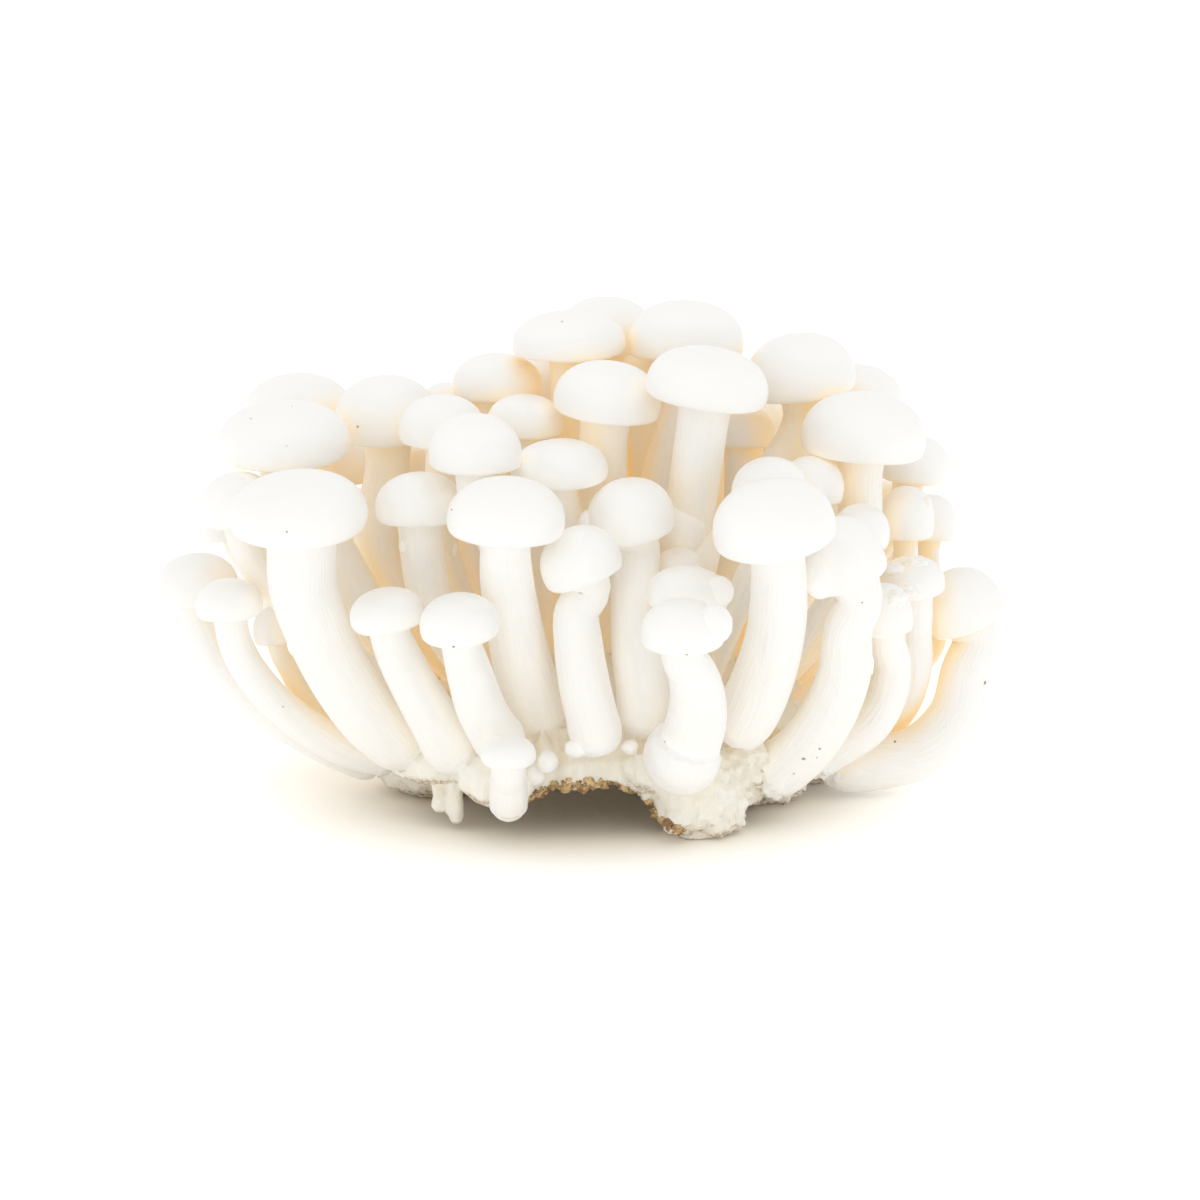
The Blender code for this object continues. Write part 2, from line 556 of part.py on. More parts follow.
def add_guide(body, collection):
    """The curve that a mushroom bends along: the stem's smooth run, then straight up through the cap."""
    shares = np.linspace(0.0, 1.0, 4 * STATIONS)
    run = [Vector(point) for point in stem_curve(body.stations, np.array(body.axis), shares)]
    run.append(body.rim + body.axis * body.tall * 1.5)
    length = sum((after - before).length for before, after in zip(run, run[1:-1]))
    curve = bpy.data.curves.new(body.name + "_guide", "CURVE")
    curve.dimensions = "3D"
    spline = curve.splines.new("POLY")
    spline.points.add(len(run) - 1)
    for point, place in zip(spline.points, run):
        point.co = (*(place * MM), 1.0)
    guide = bpy.data.objects.new(curve.name, curve)
    collection.objects.link(guide)
    hide(guide)
    return guide, length + NECK_SHARE * body.wide


def bend(thing, guide):
    modifier = thing.modifiers.new("bend", "CURVE")
    modifier.object = guide
    modifier.deform_axis = "POS_Z"


def add_mushroom(body, parts, helpers, material):
    """One mushroom, and the cutter for its socket in the butt."""
    guide, length = add_guide(body, helpers)
    sides = BROAD_SIDES if body.wide >= BROAD_CAP else SMALL_SIDES
    sides = sides if body.cap_shown else BACK_SIDES
    profile, gill_inner, gill_outer = mushroom_profile(body, length)
    shape = spun(profile, sides)
    cut_gills(shape, gill_inner, gill_outer, 0.10 * body.tall)
    bend(add_mesh(body.name, shape, parts, material), guide)
    socket = add_mesh(body.name + "_socket", spun(socket_profile(body, length), SOCKET_SIDES), helpers)
    bend(socket, guide)
    hide(socket)
    return socket


def lump(middle, half, bump):
    """A stretched ball, with a little relief by a formula."""
    shape = bmesh.new()
    bmesh.ops.create_icosphere(shape, subdivisions=2, radius=1.0)
    for vertex in shape.verts:
        x, y, z = vertex.co
        relief = 1.0 + bump * math.sin(5.0 * x + 1.3) * math.sin(6.0 * y + 0.4) * math.cos(4.0 * z)
        vertex.co = Vector((x * half[0], y * half[1], z * half[2])) * relief + Vector(middle)
    return shape


def pin(top, tip, thick):
    """A round-ended finger from top to tip."""
    start, end = sight_point(*top)[0], sight_point(*tip)[0]
    run = end - start
    radius = 0.5 * thick
    shape = spun([(0.0, 0.0), (0.7 * radius, 0.1 * radius), (0.86 * radius, run.length * 0.6),
                  (radius, run.length - 0.4 * radius), (0.7 * radius, run.length + 0.4 * radius),
                  (0.0, run.length + 0.7 * radius)], PIN_SIDES)
    shape.transform(Matrix.Translation(start) @ run.to_track_quat("Z", "Y").to_matrix().to_4x4())
    return shape


def mound():
    """The butt's oval mound: a turned shape with a hollow underside, drawn out and fluted round its side."""
    crown, rim = BUTT_CROWN_TOP, BUTT_RIM_TOP
    profile = [(0.0, 9.0), (0.5, 8.4), (0.80, 7.0), (0.94, 6.4), (1.0, 8.4), (0.98, rim),
               (0.86, rim + 0.30 * (crown - rim)), (0.6, rim + 0.66 * (crown - rim)),
               (0.3, rim + 0.92 * (crown - rim)), (0.0, crown)]
    shape = spun(profile, 2 * BUTT_FLUTES)
    for vertex in shape.verts:
        away = math.hypot(vertex.co.x, vertex.co.y)
        if away < 1e-6:
            continue
        turn = math.atan2(vertex.co.y, vertex.co.x)
        flute = 1.0 + (BUTT_FLUTE_DEPTH / BUTT_HALF[1]) * math.cos(BUTT_FLUTES * turn) * (away > 0.9)
        wave = 1.0 + 0.03 * math.sin(3.0 * turn + 0.6) + 0.02 * math.sin(5.0 * turn)
        vertex.co.x = BUTT_MIDDLE[0] + vertex.co.x * BUTT_HALF[0] * flute * wave
        vertex.co.y = BUTT_MIDDLE[1] + vertex.co.y * BUTT_HALF[1] * flute * wave
    return shape


def apply_modifiers(thing):
    bpy.context.view_layer.update()
    evaluated = thing.evaluated_get(bpy.context.evaluated_depsgraph_get())
    mesh = bpy.data.meshes.new_from_object(evaluated)
    thing.modifiers.clear()
    thing.data = mesh


def boolean(thing, collection, operation):
    """Applies one Boolean with a whole collection."""
    modifier = thing.modifiers.new(operation.lower(), "BOOLEAN")
    modifier.operation = operation
    modifier.operand_type = "COLLECTION"
    modifier.collection = collection
    modifier.solver = "EXACT"
    apply_modifiers(thing)


def drop_collection(collection):
    for thing in list(collection.objects):
        bpy.data.objects.remove(thing)
    bpy.data.collections.remove(collection)


def add_base(parts, cutters, material, crust_room):
    """The butt: mound, lumps and pins in one solid, cut flat at the floor and socketed for each stem."""
    base = add_mesh("base", mound(), parts, material)
    grown_on = new_collection("butt_lumps")
    for index, (middle, half) in enumerate(LUMPS):
        add_mesh(f"lump_{index}", lump(middle, half, LUMP_BUMP), grown_on)
    boolean(base, grown_on, "UNION")
    drop_collection(grown_on)
    grow_together(base)
    fingers = new_collection("butt_pins")
    for index, (top, tip, thick) in enumerate(PINS):
        add_mesh(f"pin_{index}", pin(top, tip, thick), fingers)
    boolean(base, fingers, "UNION")
    drop_collection(fingers)
    cutters.objects.link(crust_room)
    floor = bmesh.new()
    bmesh.ops.create_cube(floor, size=200.0, matrix=Matrix.Translation((0.0, 0.0, -100.0)))
    add_mesh("floor_cutter", floor, cutters)
    boolean(base, cutters, "DIFFERENCE")
    keep_largest_piece(base)
    return base


def grow_together(thing):
    """Melts the joined shapes into one soft surface with few faces."""
    remesh = thing.modifiers.new("melt", "REMESH")
    remesh.mode = "VOXEL"
    remesh.voxel_size = BUTT_GRAIN * MM
    smooth = thing.modifiers.new("soften", "SMOOTH")
    smooth.factor = 0.5
    smooth.iterations = 4
    fewer = thing.modifiers.new("fewer", "DECIMATE")
    fewer.ratio = BUTT_FACES_KEPT
    apply_modifiers(thing)


def keep_largest_piece(thing):
    """Drops the scraps that the sockets cut loose."""
    shape = bmesh.new()
    shape.from_mesh(thing.data)
    bmesh.ops.remove_doubles(shape, verts=shape.verts[:], dist=1e-6)
    left = set(shape.verts)
    pieces = []
    while left:
        piece, edge = set(), [next(iter(left))]
        while edge:
            vertex = edge.pop()
            if vertex in piece:
                continue
            piece.add(vertex)
            edge += [link.other_vert(vertex) for link in vertex.link_edges]
        pieces.append(piece)
        left -= piece
    pieces.sort(key=len)
    for piece in pieces[:-1]:
        bmesh.ops.delete(shape, geom=list(piece), context="VERTS")
    shape.to_mesh(thing.data)
    shape.free()


def stand_on_origin(parts):
    """Moves everything so that the middle of the whole bunch's box stands over the origin."""
    bpy.context.view_layer.update()
    graph = bpy.context.evaluated_depsgraph_get()
    shapes = [thing.evaluated_get(graph) for thing in parts.objects]
    corners = np.array([corner[:] for shape in shapes for corner in shape.bound_box])
    middle = 0.5 * (corners.min(axis=0) + corners.max(axis=0))
    for thing in bpy.data.objects:
        thing.location.xy -= Vector(middle[:2])


def main():
    for thing in list(bpy.data.objects):
        bpy.data.objects.remove(thing)
    parts = new_collection("white_beech_mushroom_bunch")
    helpers = new_collection("guides")
    sockets = new_collection("sockets")
    flesh = finish("white_flesh", (0.93, 0.91, 0.86), 0.5)
    butt_flesh = finish("butt_flesh", (0.88, 0.84, 0.70), 0.6)
    medium = finish("growing_medium", (0.42, 0.27, 0.12), 0.9)
    bodies = [Body(row) for row in CROWD]
    settle(bodies)
    for body in bodies:
        sockets.objects.link(add_mushroom(body, parts, helpers, flesh))
    crust = add_mesh("substrate", lump(CRUST_MIDDLE, CRUST_HALF, CRUST_BUMP), parts, medium)
    room = tuple(size + GAP for size in CRUST_HALF)
    crust_room = add_mesh("crust_room", lump(CRUST_MIDDLE, room, CRUST_BUMP), helpers)
    hide(crust_room)
    boolean(crust, sockets, "DIFFERENCE")
    add_base(parts, sockets, butt_flesh, crust_room)
    for thing in sockets.objects:
        hide(thing)
    stand_on_origin(parts)


main()
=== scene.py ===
"""The looks of a bunch of white beech mushrooms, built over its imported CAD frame. Lengths are metres."""

import math
import random
from types import SimpleNamespace

import bmesh
import bpy
import numpy as np
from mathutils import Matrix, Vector
from mathutils.bvhtree import BVHTree
from mathutils.noise import fractal


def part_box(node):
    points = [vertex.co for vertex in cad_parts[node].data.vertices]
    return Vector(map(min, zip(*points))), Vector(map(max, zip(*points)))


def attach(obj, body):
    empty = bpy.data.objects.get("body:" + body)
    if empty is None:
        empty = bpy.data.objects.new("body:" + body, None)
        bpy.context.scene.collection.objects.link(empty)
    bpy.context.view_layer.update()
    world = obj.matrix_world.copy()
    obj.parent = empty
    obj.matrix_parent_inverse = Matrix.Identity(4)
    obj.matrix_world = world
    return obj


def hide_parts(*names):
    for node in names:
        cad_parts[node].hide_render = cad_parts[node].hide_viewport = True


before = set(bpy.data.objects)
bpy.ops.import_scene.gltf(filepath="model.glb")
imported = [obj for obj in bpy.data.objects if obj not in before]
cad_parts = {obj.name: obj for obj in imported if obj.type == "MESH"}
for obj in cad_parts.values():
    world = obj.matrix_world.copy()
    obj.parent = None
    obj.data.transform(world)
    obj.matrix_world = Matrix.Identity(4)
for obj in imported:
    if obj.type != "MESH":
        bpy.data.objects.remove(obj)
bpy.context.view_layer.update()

# The camera
# A long lens stands half a metre away and twelve degrees above the floor, and looks straight at the bunch's
# front. Places in the picture are read on an upright sheet that stands square to it.
MM = 0.001
CAMERA_TILT = math.radians(12.0)
CAMERA_AWAY = 500.0 * MM
PICTURE_WIDTH = 184.2 * MM
PICTURE_COLUMNS = 1200
PIXEL = PICTURE_WIDTH / PICTURE_COLUMNS
SENSOR = 36.0
NEAREST, FURTHEST = 0.01, 20.0
BOX_MIDDLE = Vector((0.7365, 5.5773, 0.0)) * MM
SHEET_COLUMN, SHEET_ROW = 578.0, 797.0
AIM_ACROSS, AIM_RISE = 3.4, 30.2

sheet_up = Vector((0.0, math.sin(CAMERA_TILT), math.cos(CAMERA_TILT)))
line_of_sight = Vector((0.0, math.cos(CAMERA_TILT), -math.sin(CAMERA_TILT)))
aim = Vector((AIM_ACROSS * MM, 0.0, 0.0)) + sheet_up * AIM_RISE * MM - BOX_MIDDLE
eye = aim - line_of_sight * CAMERA_AWAY

bpy.ops.object.camera_add(location=eye)
camera = bpy.context.active_object
camera.rotation_mode = "QUATERNION"
camera.rotation_quaternion = line_of_sight.to_track_quat("-Z", "Y")
camera.data.sensor_width = SENSOR
camera.data.lens = SENSOR * CAMERA_AWAY / PICTURE_WIDTH
camera.data.clip_start = NEAREST
camera.data.clip_end = FURTHEST
bpy.context.scene.camera = camera
bpy.context.scene.view_settings.view_transform = "Standard"


def seen_at(column, row, depth):
    """The point that is seen at this place in the picture, where its y is depth (millimetres)."""
    across, rise = (column - SHEET_COLUMN) * PIXEL, (SHEET_ROW - row) * PIXEL
    on_sheet = Vector((across, 0.0, 0.0)) + sheet_up * rise - BOX_MIDDLE
    reach = (depth * MM - eye.y) / (on_sheet.y - eye.y)
    return eye + (on_sheet - eye) * reach


def sight(column, row):
    """The way from the eye to this place in the picture."""
    return (seen_at(column, row, 0.0) - eye).normalized()


# The mushrooms
# Each is one grown piece of firm, satin flesh: a stem that swells a little to its foot, and a bun-shaped cap
# with an in-rolled edge over fine gills. One pattern is drawn up ring by ring, and every copy is fitted over
# its own run. Stems are finely fibrous along their length, and caps are faintly mottled.
FLESH = (0.900, 0.890, 0.862, 1.0)
# Warm end of the flesh's colour: its own straw tint, and painted shade where it is shut in.
FLESH_STRAW_AND_SHADE = (0.925, 0.775, 0.520, 1.0)
# Painted glow that the flesh gives off where it is shut in: pale a little way in, warm deep in the bunch.
PAINTED_GLOW_PALE = (0.36, 0.36, 0.35, 1.0)
PAINTED_GLOW_WARM = (0.55, 0.36, 0.14, 1.0)
NO_GLOW = (0.0, 0.0, 0.0, 1.0)
PAINTED_GLOW_STRENGTH = 0.31
FLESH_SPECULAR = 0.45
FLESH_RELIEF = 0.00022
FLESH_BUMP = 0.6
FIBRE_FINENESS = 2200.0
FIBRE_STRETCH = 0.06
MOTTLE_FINENESS = 420.0

# How far shut in the flesh is where its painted glow begins and is full, and where its painted shade, a warm
# tint, begins and is full. This painted shade is deeper in the heart of the bunch than in its front row, and
# deeper on stems than on caps.
GLOW_FROM, GLOW_TO = 0.12, 0.70
SHADE_TINT_FROM, SHADE_TINT_TO = 0.20, 0.70
FRONT_ROW, HEART = -0.026, 0.006
FRONT_ROW_SHADE, HEART_SHADE = 0.12, 0.88
CAP_LESS_SHADE = 0.4
FOOT_WARMTH, MOTTLE_WARMTH, FIBRE_WARMTH = 0.06, 0.14, 0.16
CAP_ROUGHNESS, MOTTLE_ROUGHNESS, STEM_ROUGHNESS = 0.38, 0.16, 0.10
FIBRE_RELIEF, MOTTLE_RELIEF = 1.1, 0.35


class Socket:
    """One output of a shader node. Sums in the shaders are written as sums of these."""

    def __init__(self, output):
        self.output = output

    def __add__(self, other):
        return maths("ADD", self, other)

    def __radd__(self, other):
        return maths("ADD", other, self)

    def __sub__(self, other):
        return maths("SUBTRACT", self, other)

    def __rsub__(self, other):
        return maths("SUBTRACT", other, self)

    def __mul__(self, other):
        return maths("MULTIPLY", self, other)

    def __rmul__(self, other):
        return maths("MULTIPLY", other, self)

    def between(self, low, high):
        """0 at low, 1 at high, clamped."""
        return node("ShaderNodeMapRange", self.output.id_data, 0, {"clamp": True},
                    {"Value": self, "From Min": low, "From Max": high})


def node(kind, tree, output, settings, inputs):
    """A new shader node's output. Settings are set first, then socket values or links."""
    made = tree.nodes.new(kind)
    for name, value in settings.items():
        setattr(made, name, value)
    for name, value in inputs.items():
        if isinstance(value, Socket):
            tree.links.new(value.output, made.inputs[name])
        else:
            made.inputs[name].default_value = value
    return Socket(made.outputs[output])


def maths(operation, first, second):
    """A sum of two values, of which one at least is a socket."""
    tree = (first if isinstance(first, Socket) else second).output.id_data
    return node("ShaderNodeMath", tree, 0, {"operation": operation}, {0: first, 1: second})


def mix(share, first, second):
    """A colour between two others."""
    return node("ShaderNodeMix", share.output.id_data, 2, {"data_type": "RGBA"},
                {0: share, 6: first, 7: second})


def new_material(name):
    """A new material, its node tree and its shader."""
    material = bpy.data.materials.new(name)
    material.use_nodes = True
    return material, material.node_tree, material.node_tree.nodes["Principled BSDF"]


def link(socket, shader, name):
    """Leads a socket to one of the shader's inputs."""
    shader.id_data.links.new(socket.output, shader.inputs[name])


def attribute(tree, label):
    """A number that the mesh holds for each point."""
    return node("ShaderNodeAttribute", tree, 2, {"attribute_name": label}, {})


def own_place(tree):
    """The place on the piece itself."""
    return node("ShaderNodeTexCoord", tree, 3, {}, {})


def part_of(place, index):
    """The x, y or z of a place or a direction."""
    return node("ShaderNodeSeparateXYZ", place.output.id_data, index, {}, {"Vector": place})


def noise(tree, place, scale, detail=3.0, roughness=0.5):
    """Soft speckle between 0 and 1."""
    return node("ShaderNodeTexNoise", tree, 0, {},
                {"Vector": place, "Scale": scale, "Detail": detail, "Roughness": roughness})


def drawn_out(place, along):
    """A place that is stretched along its third axis, so that speckle turns to fibres."""
    return node("ShaderNodeVectorMath", place.output.id_data, 0, {"operation": "MULTIPLY"},
                {0: place, 1: (1.0, 1.0, along)})


def bumped(tree, height, strength, distance):
    """A normal that follows a relief."""
    return node("ShaderNodeBump", tree, 0, {},
                {"Height": height, "Strength": strength, "Distance": distance})


flesh, tree, shader = new_material("mushroom_flesh")
grain = node("ShaderNodeAttribute", tree, 1, {"attribute_name": "grain"}, {})
on_cap = attribute(tree, "on_cap")
crowding = attribute(tree, "crowding")
fibres = noise(tree, drawn_out(grain, FIBRE_STRETCH), FIBRE_FINENESS, 2.0, 0.6)
mottle = noise(tree, grain, MOTTLE_FINENESS, 2.0, 0.6)
# Painted shade: the flesh turns warm where it is shut in, more in the heart of the bunch, less on caps.
inwards = part_of(own_place(tree), 1).between(FRONT_ROW, HEART)
painted_shade = crowding.between(SHADE_TINT_FROM, SHADE_TINT_TO) * (FRONT_ROW_SHADE + HEART_SHADE * inwards)
painted_shade = painted_shade * (1.0 - CAP_LESS_SHADE * on_cap)
# The foot, mottle and fibres add the flesh's own tint to the painted shade.
tint_and_painted_shade = attribute(tree, "to_foot") * FOOT_WARMTH + (mottle - 0.5) * MOTTLE_WARMTH
tint_and_painted_shade = tint_and_painted_shade + (fibres - 0.5) * (1.0 - on_cap) * FIBRE_WARMTH + painted_shade
link(mix(tint_and_painted_shade.between(0.0, 1.0), FLESH, FLESH_STRAW_AND_SHADE), shader, "Base Color")
# Painted glow where the flesh is shut in, warmer where the painted shade is deep.
glow_colour = mix(painted_shade, PAINTED_GLOW_PALE, PAINTED_GLOW_WARM)
link(mix(crowding.between(GLOW_FROM, GLOW_TO), NO_GLOW, glow_colour), shader, "Emission Color")
roughness = CAP_ROUGHNESS + (mottle - 0.5) * MOTTLE_ROUGHNESS + (1.0 - on_cap) * STEM_ROUGHNESS
link(roughness, shader, "Roughness")
relief = fibres * (1.0 - on_cap) * FIBRE_RELIEF + mottle * on_cap * MOTTLE_RELIEF
link(bumped(tree, relief, FLESH_BUMP, FLESH_RELIEF), shader, "Normal")
shader.inputs["Emission Strength"].default_value = PAINTED_GLOW_STRENGTH
shader.inputs["Specular IOR Level"].default_value = FLESH_SPECULAR
flesh.cycles.emission_sampling = "NONE"

# The pattern's rings: the underside from the stem out to the edge (share of the way, height), and the cap
# from the tucked edge over the rim (share of half the width, height). Heights are shares of the cap's height.
SIDES = 96
STEM_RINGS = 30
UNDERSIDE = ((0.0, 0.135), (0.10, 0.155), (0.35, 0.175), (0.65, 0.18), (0.90, 0.165), (1.0, 0.14))
TUCK = ((0.81, 0.10), (0.82, 0.05), (0.85, 0.012), (0.892, 0.0), (0.932, 0.012), (0.962, 0.045),
        (0.980, 0.09), (0.992, 0.14), (0.998, 0.19), (1.0, 0.24))
DOME = 16
DOME_SQUARENESS = 2.2
RIM_HEIGHT = TUCK[-1][1]
GILL_EDGE = 0.79
PATTERN_STEM = 45.0 * MM
PATTERN_NECK = 3.5 * MM
PATTERN_SWELL = 0.25
PATTERN_HALF = 8.5 * MM
PATTERN_TALL = 10.0 * MM
TIP = 0.001
FOOT_DROP = 0.3
ON_AXIS = 1e-6

rings = []
for index in range(STEM_RINGS):
    rings.append(("stem", index / (STEM_RINGS - 1.0), 0.0))
for share, height in UNDERSIDE[1:]:
    rings.append(("gills", share, height))
for radius, height in TUCK:
    rings.append(("cap", radius, height))
for index in range(1, DOME):
    sine = math.sin(0.5 * math.pi * index / DOME)
    radius = (1.0 - sine**DOME_SQUARENESS) ** (1.0 / DOME_SQUARENESS)
    rings.append(("cap", radius, RIM_HEIGHT + (1.0 - RIM_HEIGHT) * sine))


def pattern_ring(kind, share, height):
    """Radius and height of one ring of the pattern mushroom."""
    if kind == "stem":
        return PATTERN_NECK * (1.0 + PATTERN_SWELL - PATTERN_SWELL * share), PATTERN_STEM * share
    rise = PATTERN_STEM + (height - UNDERSIDE[0][1]) * PATTERN_TALL
    if kind == "gills":
        return PATTERN_NECK + (GILL_EDGE * PATTERN_HALF - PATTERN_NECK) * share, rise
    return PATTERN_HALF * share, rise


bpy.ops.object.select_all(action="DESELECT")
first_radius, first_height = pattern_ring(*rings[0])
bpy.ops.mesh.primitive_circle_add(vertices=SIDES, radius=first_radius, location=(0.0, 0.0, first_height))
pattern = bpy.context.active_object
pattern.name = "pattern_mushroom"
bpy.ops.object.mode_set(mode="EDIT")
bpy.ops.mesh.select_all(action="SELECT")
for before, after in zip(rings, rings[1:]):
    old_radius, old_height = pattern_ring(*before)
    radius, height = pattern_ring(*after)
    bpy.ops.mesh.extrude_region_move(TRANSFORM_OT_translate={"value": (0.0, 0.0, height - old_height)})
    bpy.ops.transform.resize(value=(radius / old_radius, radius / old_radius, 1.0),
                             center_override=(0.0, 0.0, height))
bpy.ops.mesh.extrude_region_move(TRANSFORM_OT_translate={"value": (0.0, 0.0, TIP * PATTERN_TALL)})
bpy.ops.mesh.merge(type="CENTER")
bpy.ops.object.mode_set(mode="OBJECT")
for vertex in pattern.data.vertices:
    vertex.select = vertex.index < SIDES
bpy.ops.object.mode_set(mode="EDIT")
bpy.ops.mesh.extrude_region_move(TRANSFORM_OT_translate={"value": (0.0, 0.0, -FOOT_DROP * PATTERN_NECK)})
bpy.ops.mesh.merge(type="CENTER")
bpy.ops.mesh.select_all(action="SELECT")
bpy.ops.mesh.normals_make_consistent(inside=False)
bpy.ops.object.mode_set(mode="OBJECT")
bpy.ops.object.shade_smooth()

# Which ring each point of the pattern belongs to, and its turn round that ring. Every second side of a gill
# ring is a blade.
ring_sizes = np.array([pattern_ring(*ring) for ring in rings])
pattern_points = np.array([vertex.co[:] for vertex in pattern.data.vertices])
pattern_radii = np.hypot(pattern_points[:, 0], pattern_points[:, 1])
turn = np.arctan2(pattern_points[:, 1], pattern_points[:, 0])
blade_side = np.rint(turn / (2.0 * math.pi / SIDES)).astype(int) % 2
off_ring = np.hypot(pattern_radii[:, None] - ring_sizes[None, :, 0],
                    pattern_points[:, 2, None] - ring_sizes[None, :, 1])
ring_of = np.where(pattern_radii < ON_AXIS, -1, off_ring.argmin(axis=1))
poles = np.flatnonzero(pattern_radii < ON_AXIS)
top, bottom = sorted(poles, key=lambda index: -pattern_points[index, 2])

# How the rings of a CAD mushroom lie: the ring at the cap's widest and the one at its edge, counted from the
# top, and those above the stem's last ring. Its flat sides stand a little inside its true radius.
FLAT_SIDES = 1.035
FEWEST_SIDES = 8
WIDEST_RING = 3
EDGE_RING = 4
RINGS_ABOVE_STEM = 7
SHORT_STEM = 4
NECK_HEIGHT = 0.14
NECK_FLARE = 1.12
SAME_POINT = 2e-6
RUN_STEP = 0.0004


def node_rings(name):
    """The rings of a CAD mushroom counted from its foot's pole, and counted from its cap's pole."""
    shape = bmesh.new()
    shape.from_mesh(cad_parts[name].data)
    bmesh.ops.remove_doubles(shape, verts=shape.verts[:], dist=SAME_POINT)
    shape.verts.ensure_lookup_table()

    def layers(start):
        """All points, layer by layer out from this one."""
        found, edge = {start}, [start]
        out = [edge]
        while edge:
            edge = [bond.other_vert(vertex) for vertex in edge for bond in vertex.link_edges]
            edge = [vertex for vertex in dict.fromkeys(edge) if vertex not in found]
            found.update(edge)
            if edge:
                out.append(edge)
        return out

    def unlike(vertex):
        """How much the edges that meet here differ in length. They are nearly alike only at a pole."""
        lengths = [bond.calc_length() for bond in vertex.link_edges]
        return np.std(lengths) / np.mean(lengths)

    fans = sorted((vertex for vertex in shape.verts if len(vertex.link_edges) >= FEWEST_SIDES), key=unlike)
    ends = sorted(fans[:2], key=lambda vertex: vertex.co.z)
    out = [[np.array([vertex.co[:] for vertex in layer]) for layer in layers(end)] for end in ends]
    shape.free()
    return out


def smooth_run(points, places, wanted):
    """Points of the smooth curve through these, at the wanted distances along it."""
    slopes = np.gradient(points, places, axis=0)
    start = np.clip(np.searchsorted(places, wanted, side="right") - 1, 0, len(points) - 2)
    gap = (places[start + 1] - places[start])[:, None]
    t = ((wanted - places[start])[:, None]) / gap
    return ((2 * t**3 - 3 * t**2 + 1) * points[start] + (t**3 - 2 * t**2 + t) * slopes[start] * gap
            + (3 * t**2 - 2 * t**3) * points[start + 1] + (t**3 - t**2) * slopes[start + 1] * gap)


def distances_along(points):
    """How far along their run each of these points lies."""
    return np.concatenate([[0.0], np.cumsum(np.linalg.norm(np.diff(points, axis=0), axis=1))])


class Grown:
    """One mushroom's real shape, read off its CAD node."""

    def __init__(self, name):
        up, down = node_rings(name)
        self.rim = down[EDGE_RING].mean(0)
        self.axis = down[0][0] - self.rim
        self.tall = np.linalg.norm(self.axis)
        self.axis /= self.tall
        widest = down[WIDEST_RING]
        self.half = np.linalg.norm(widest - widest.mean(0), axis=1).max() / FLAT_SIDES
        stem = up[1:len(up) - RINGS_ABOVE_STEM]
        self.foot = up[0][0]
        neck = self.rim + self.axis * self.tall * NECK_HEIGHT
        self.points = np.array([self.foot] + [ring.mean(0) for ring in stem] + [neck])
        radii = [np.linalg.norm(ring - ring.mean(0), axis=1).mean() / FLAT_SIDES for ring in stem]
        if len(stem) > SHORT_STEM:
            radii[0] = radii[1]
        self.radii = np.array([radii[0]] + radii + [radii[-1] * NECK_FLARE])
        self.places = distances_along(self.points)
        self.long = self.places[-1]


def turned(direction, axis):
    """The part of direction that is square to axis, one long."""
    square = direction - axis * float(direction @ axis)
    return square / np.linalg.norm(square)


def stem_frames(grown, wanted):
    """Middles, side and front directions of the stem's cross-sections at these distances."""
    middles = smooth_run(grown.points, grown.places, wanted)
    step = smooth_run(grown.points, grown.places, np.clip(wanted + RUN_STEP, 0, grown.long))
    step -= smooth_run(grown.points, grown.places, np.clip(wanted - RUN_STEP, 0, grown.long))
    along = step / np.linalg.norm(step, axis=1, keepdims=True)
    sides = np.array([turned(np.array((1.0, 0.0, 0.0)), way) for way in along])
    return middles, sides, np.cross(along, sides)


# How the foot is rounded off, how uneven the grown shapes are as shares of their radius, how far the edge
# dips, how wide the neck may be, and how deep the gills are.
FULL_TURN = 6.28
FOOT_START, STEM_SHARE = 0.018, 0.982
FOOT_ROUND_REACH, FOOT_ROUND_DEPTH = 0.9, 0.9
STEM_SWELL, STEM_SWELLS = 0.012, 9.0
CAP_UNEVEN, EDGE_UNEVEN, STEM_UNEVEN = 0.012, 0.02, 0.022
EDGE_DIP = 0.6
WIDEST_NECK = 0.72
GILL_DEPTH = 0.075


def hold(mesh, label, values):
    """Keeps a number or a vector for each point of the mesh, for its material to read."""
    kind, field = ("FLOAT_VECTOR", "vector") if values.ndim == 2 else ("FLOAT", "value")
    layer = mesh.attributes.new(label, kind, "POINT")
    layer.data.foreach_set(field, values.astype(np.float32).ravel())


def wavy(turn, chance, size):
    """A gentle unevenness round a ring."""
    first, second = chance.uniform(0, FULL_TURN), chance.uniform(0, FULL_TURN)
    return 1.0 + size * np.cos(2 * turn + first) + 0.6 * size * np.cos(3 * turn + second)


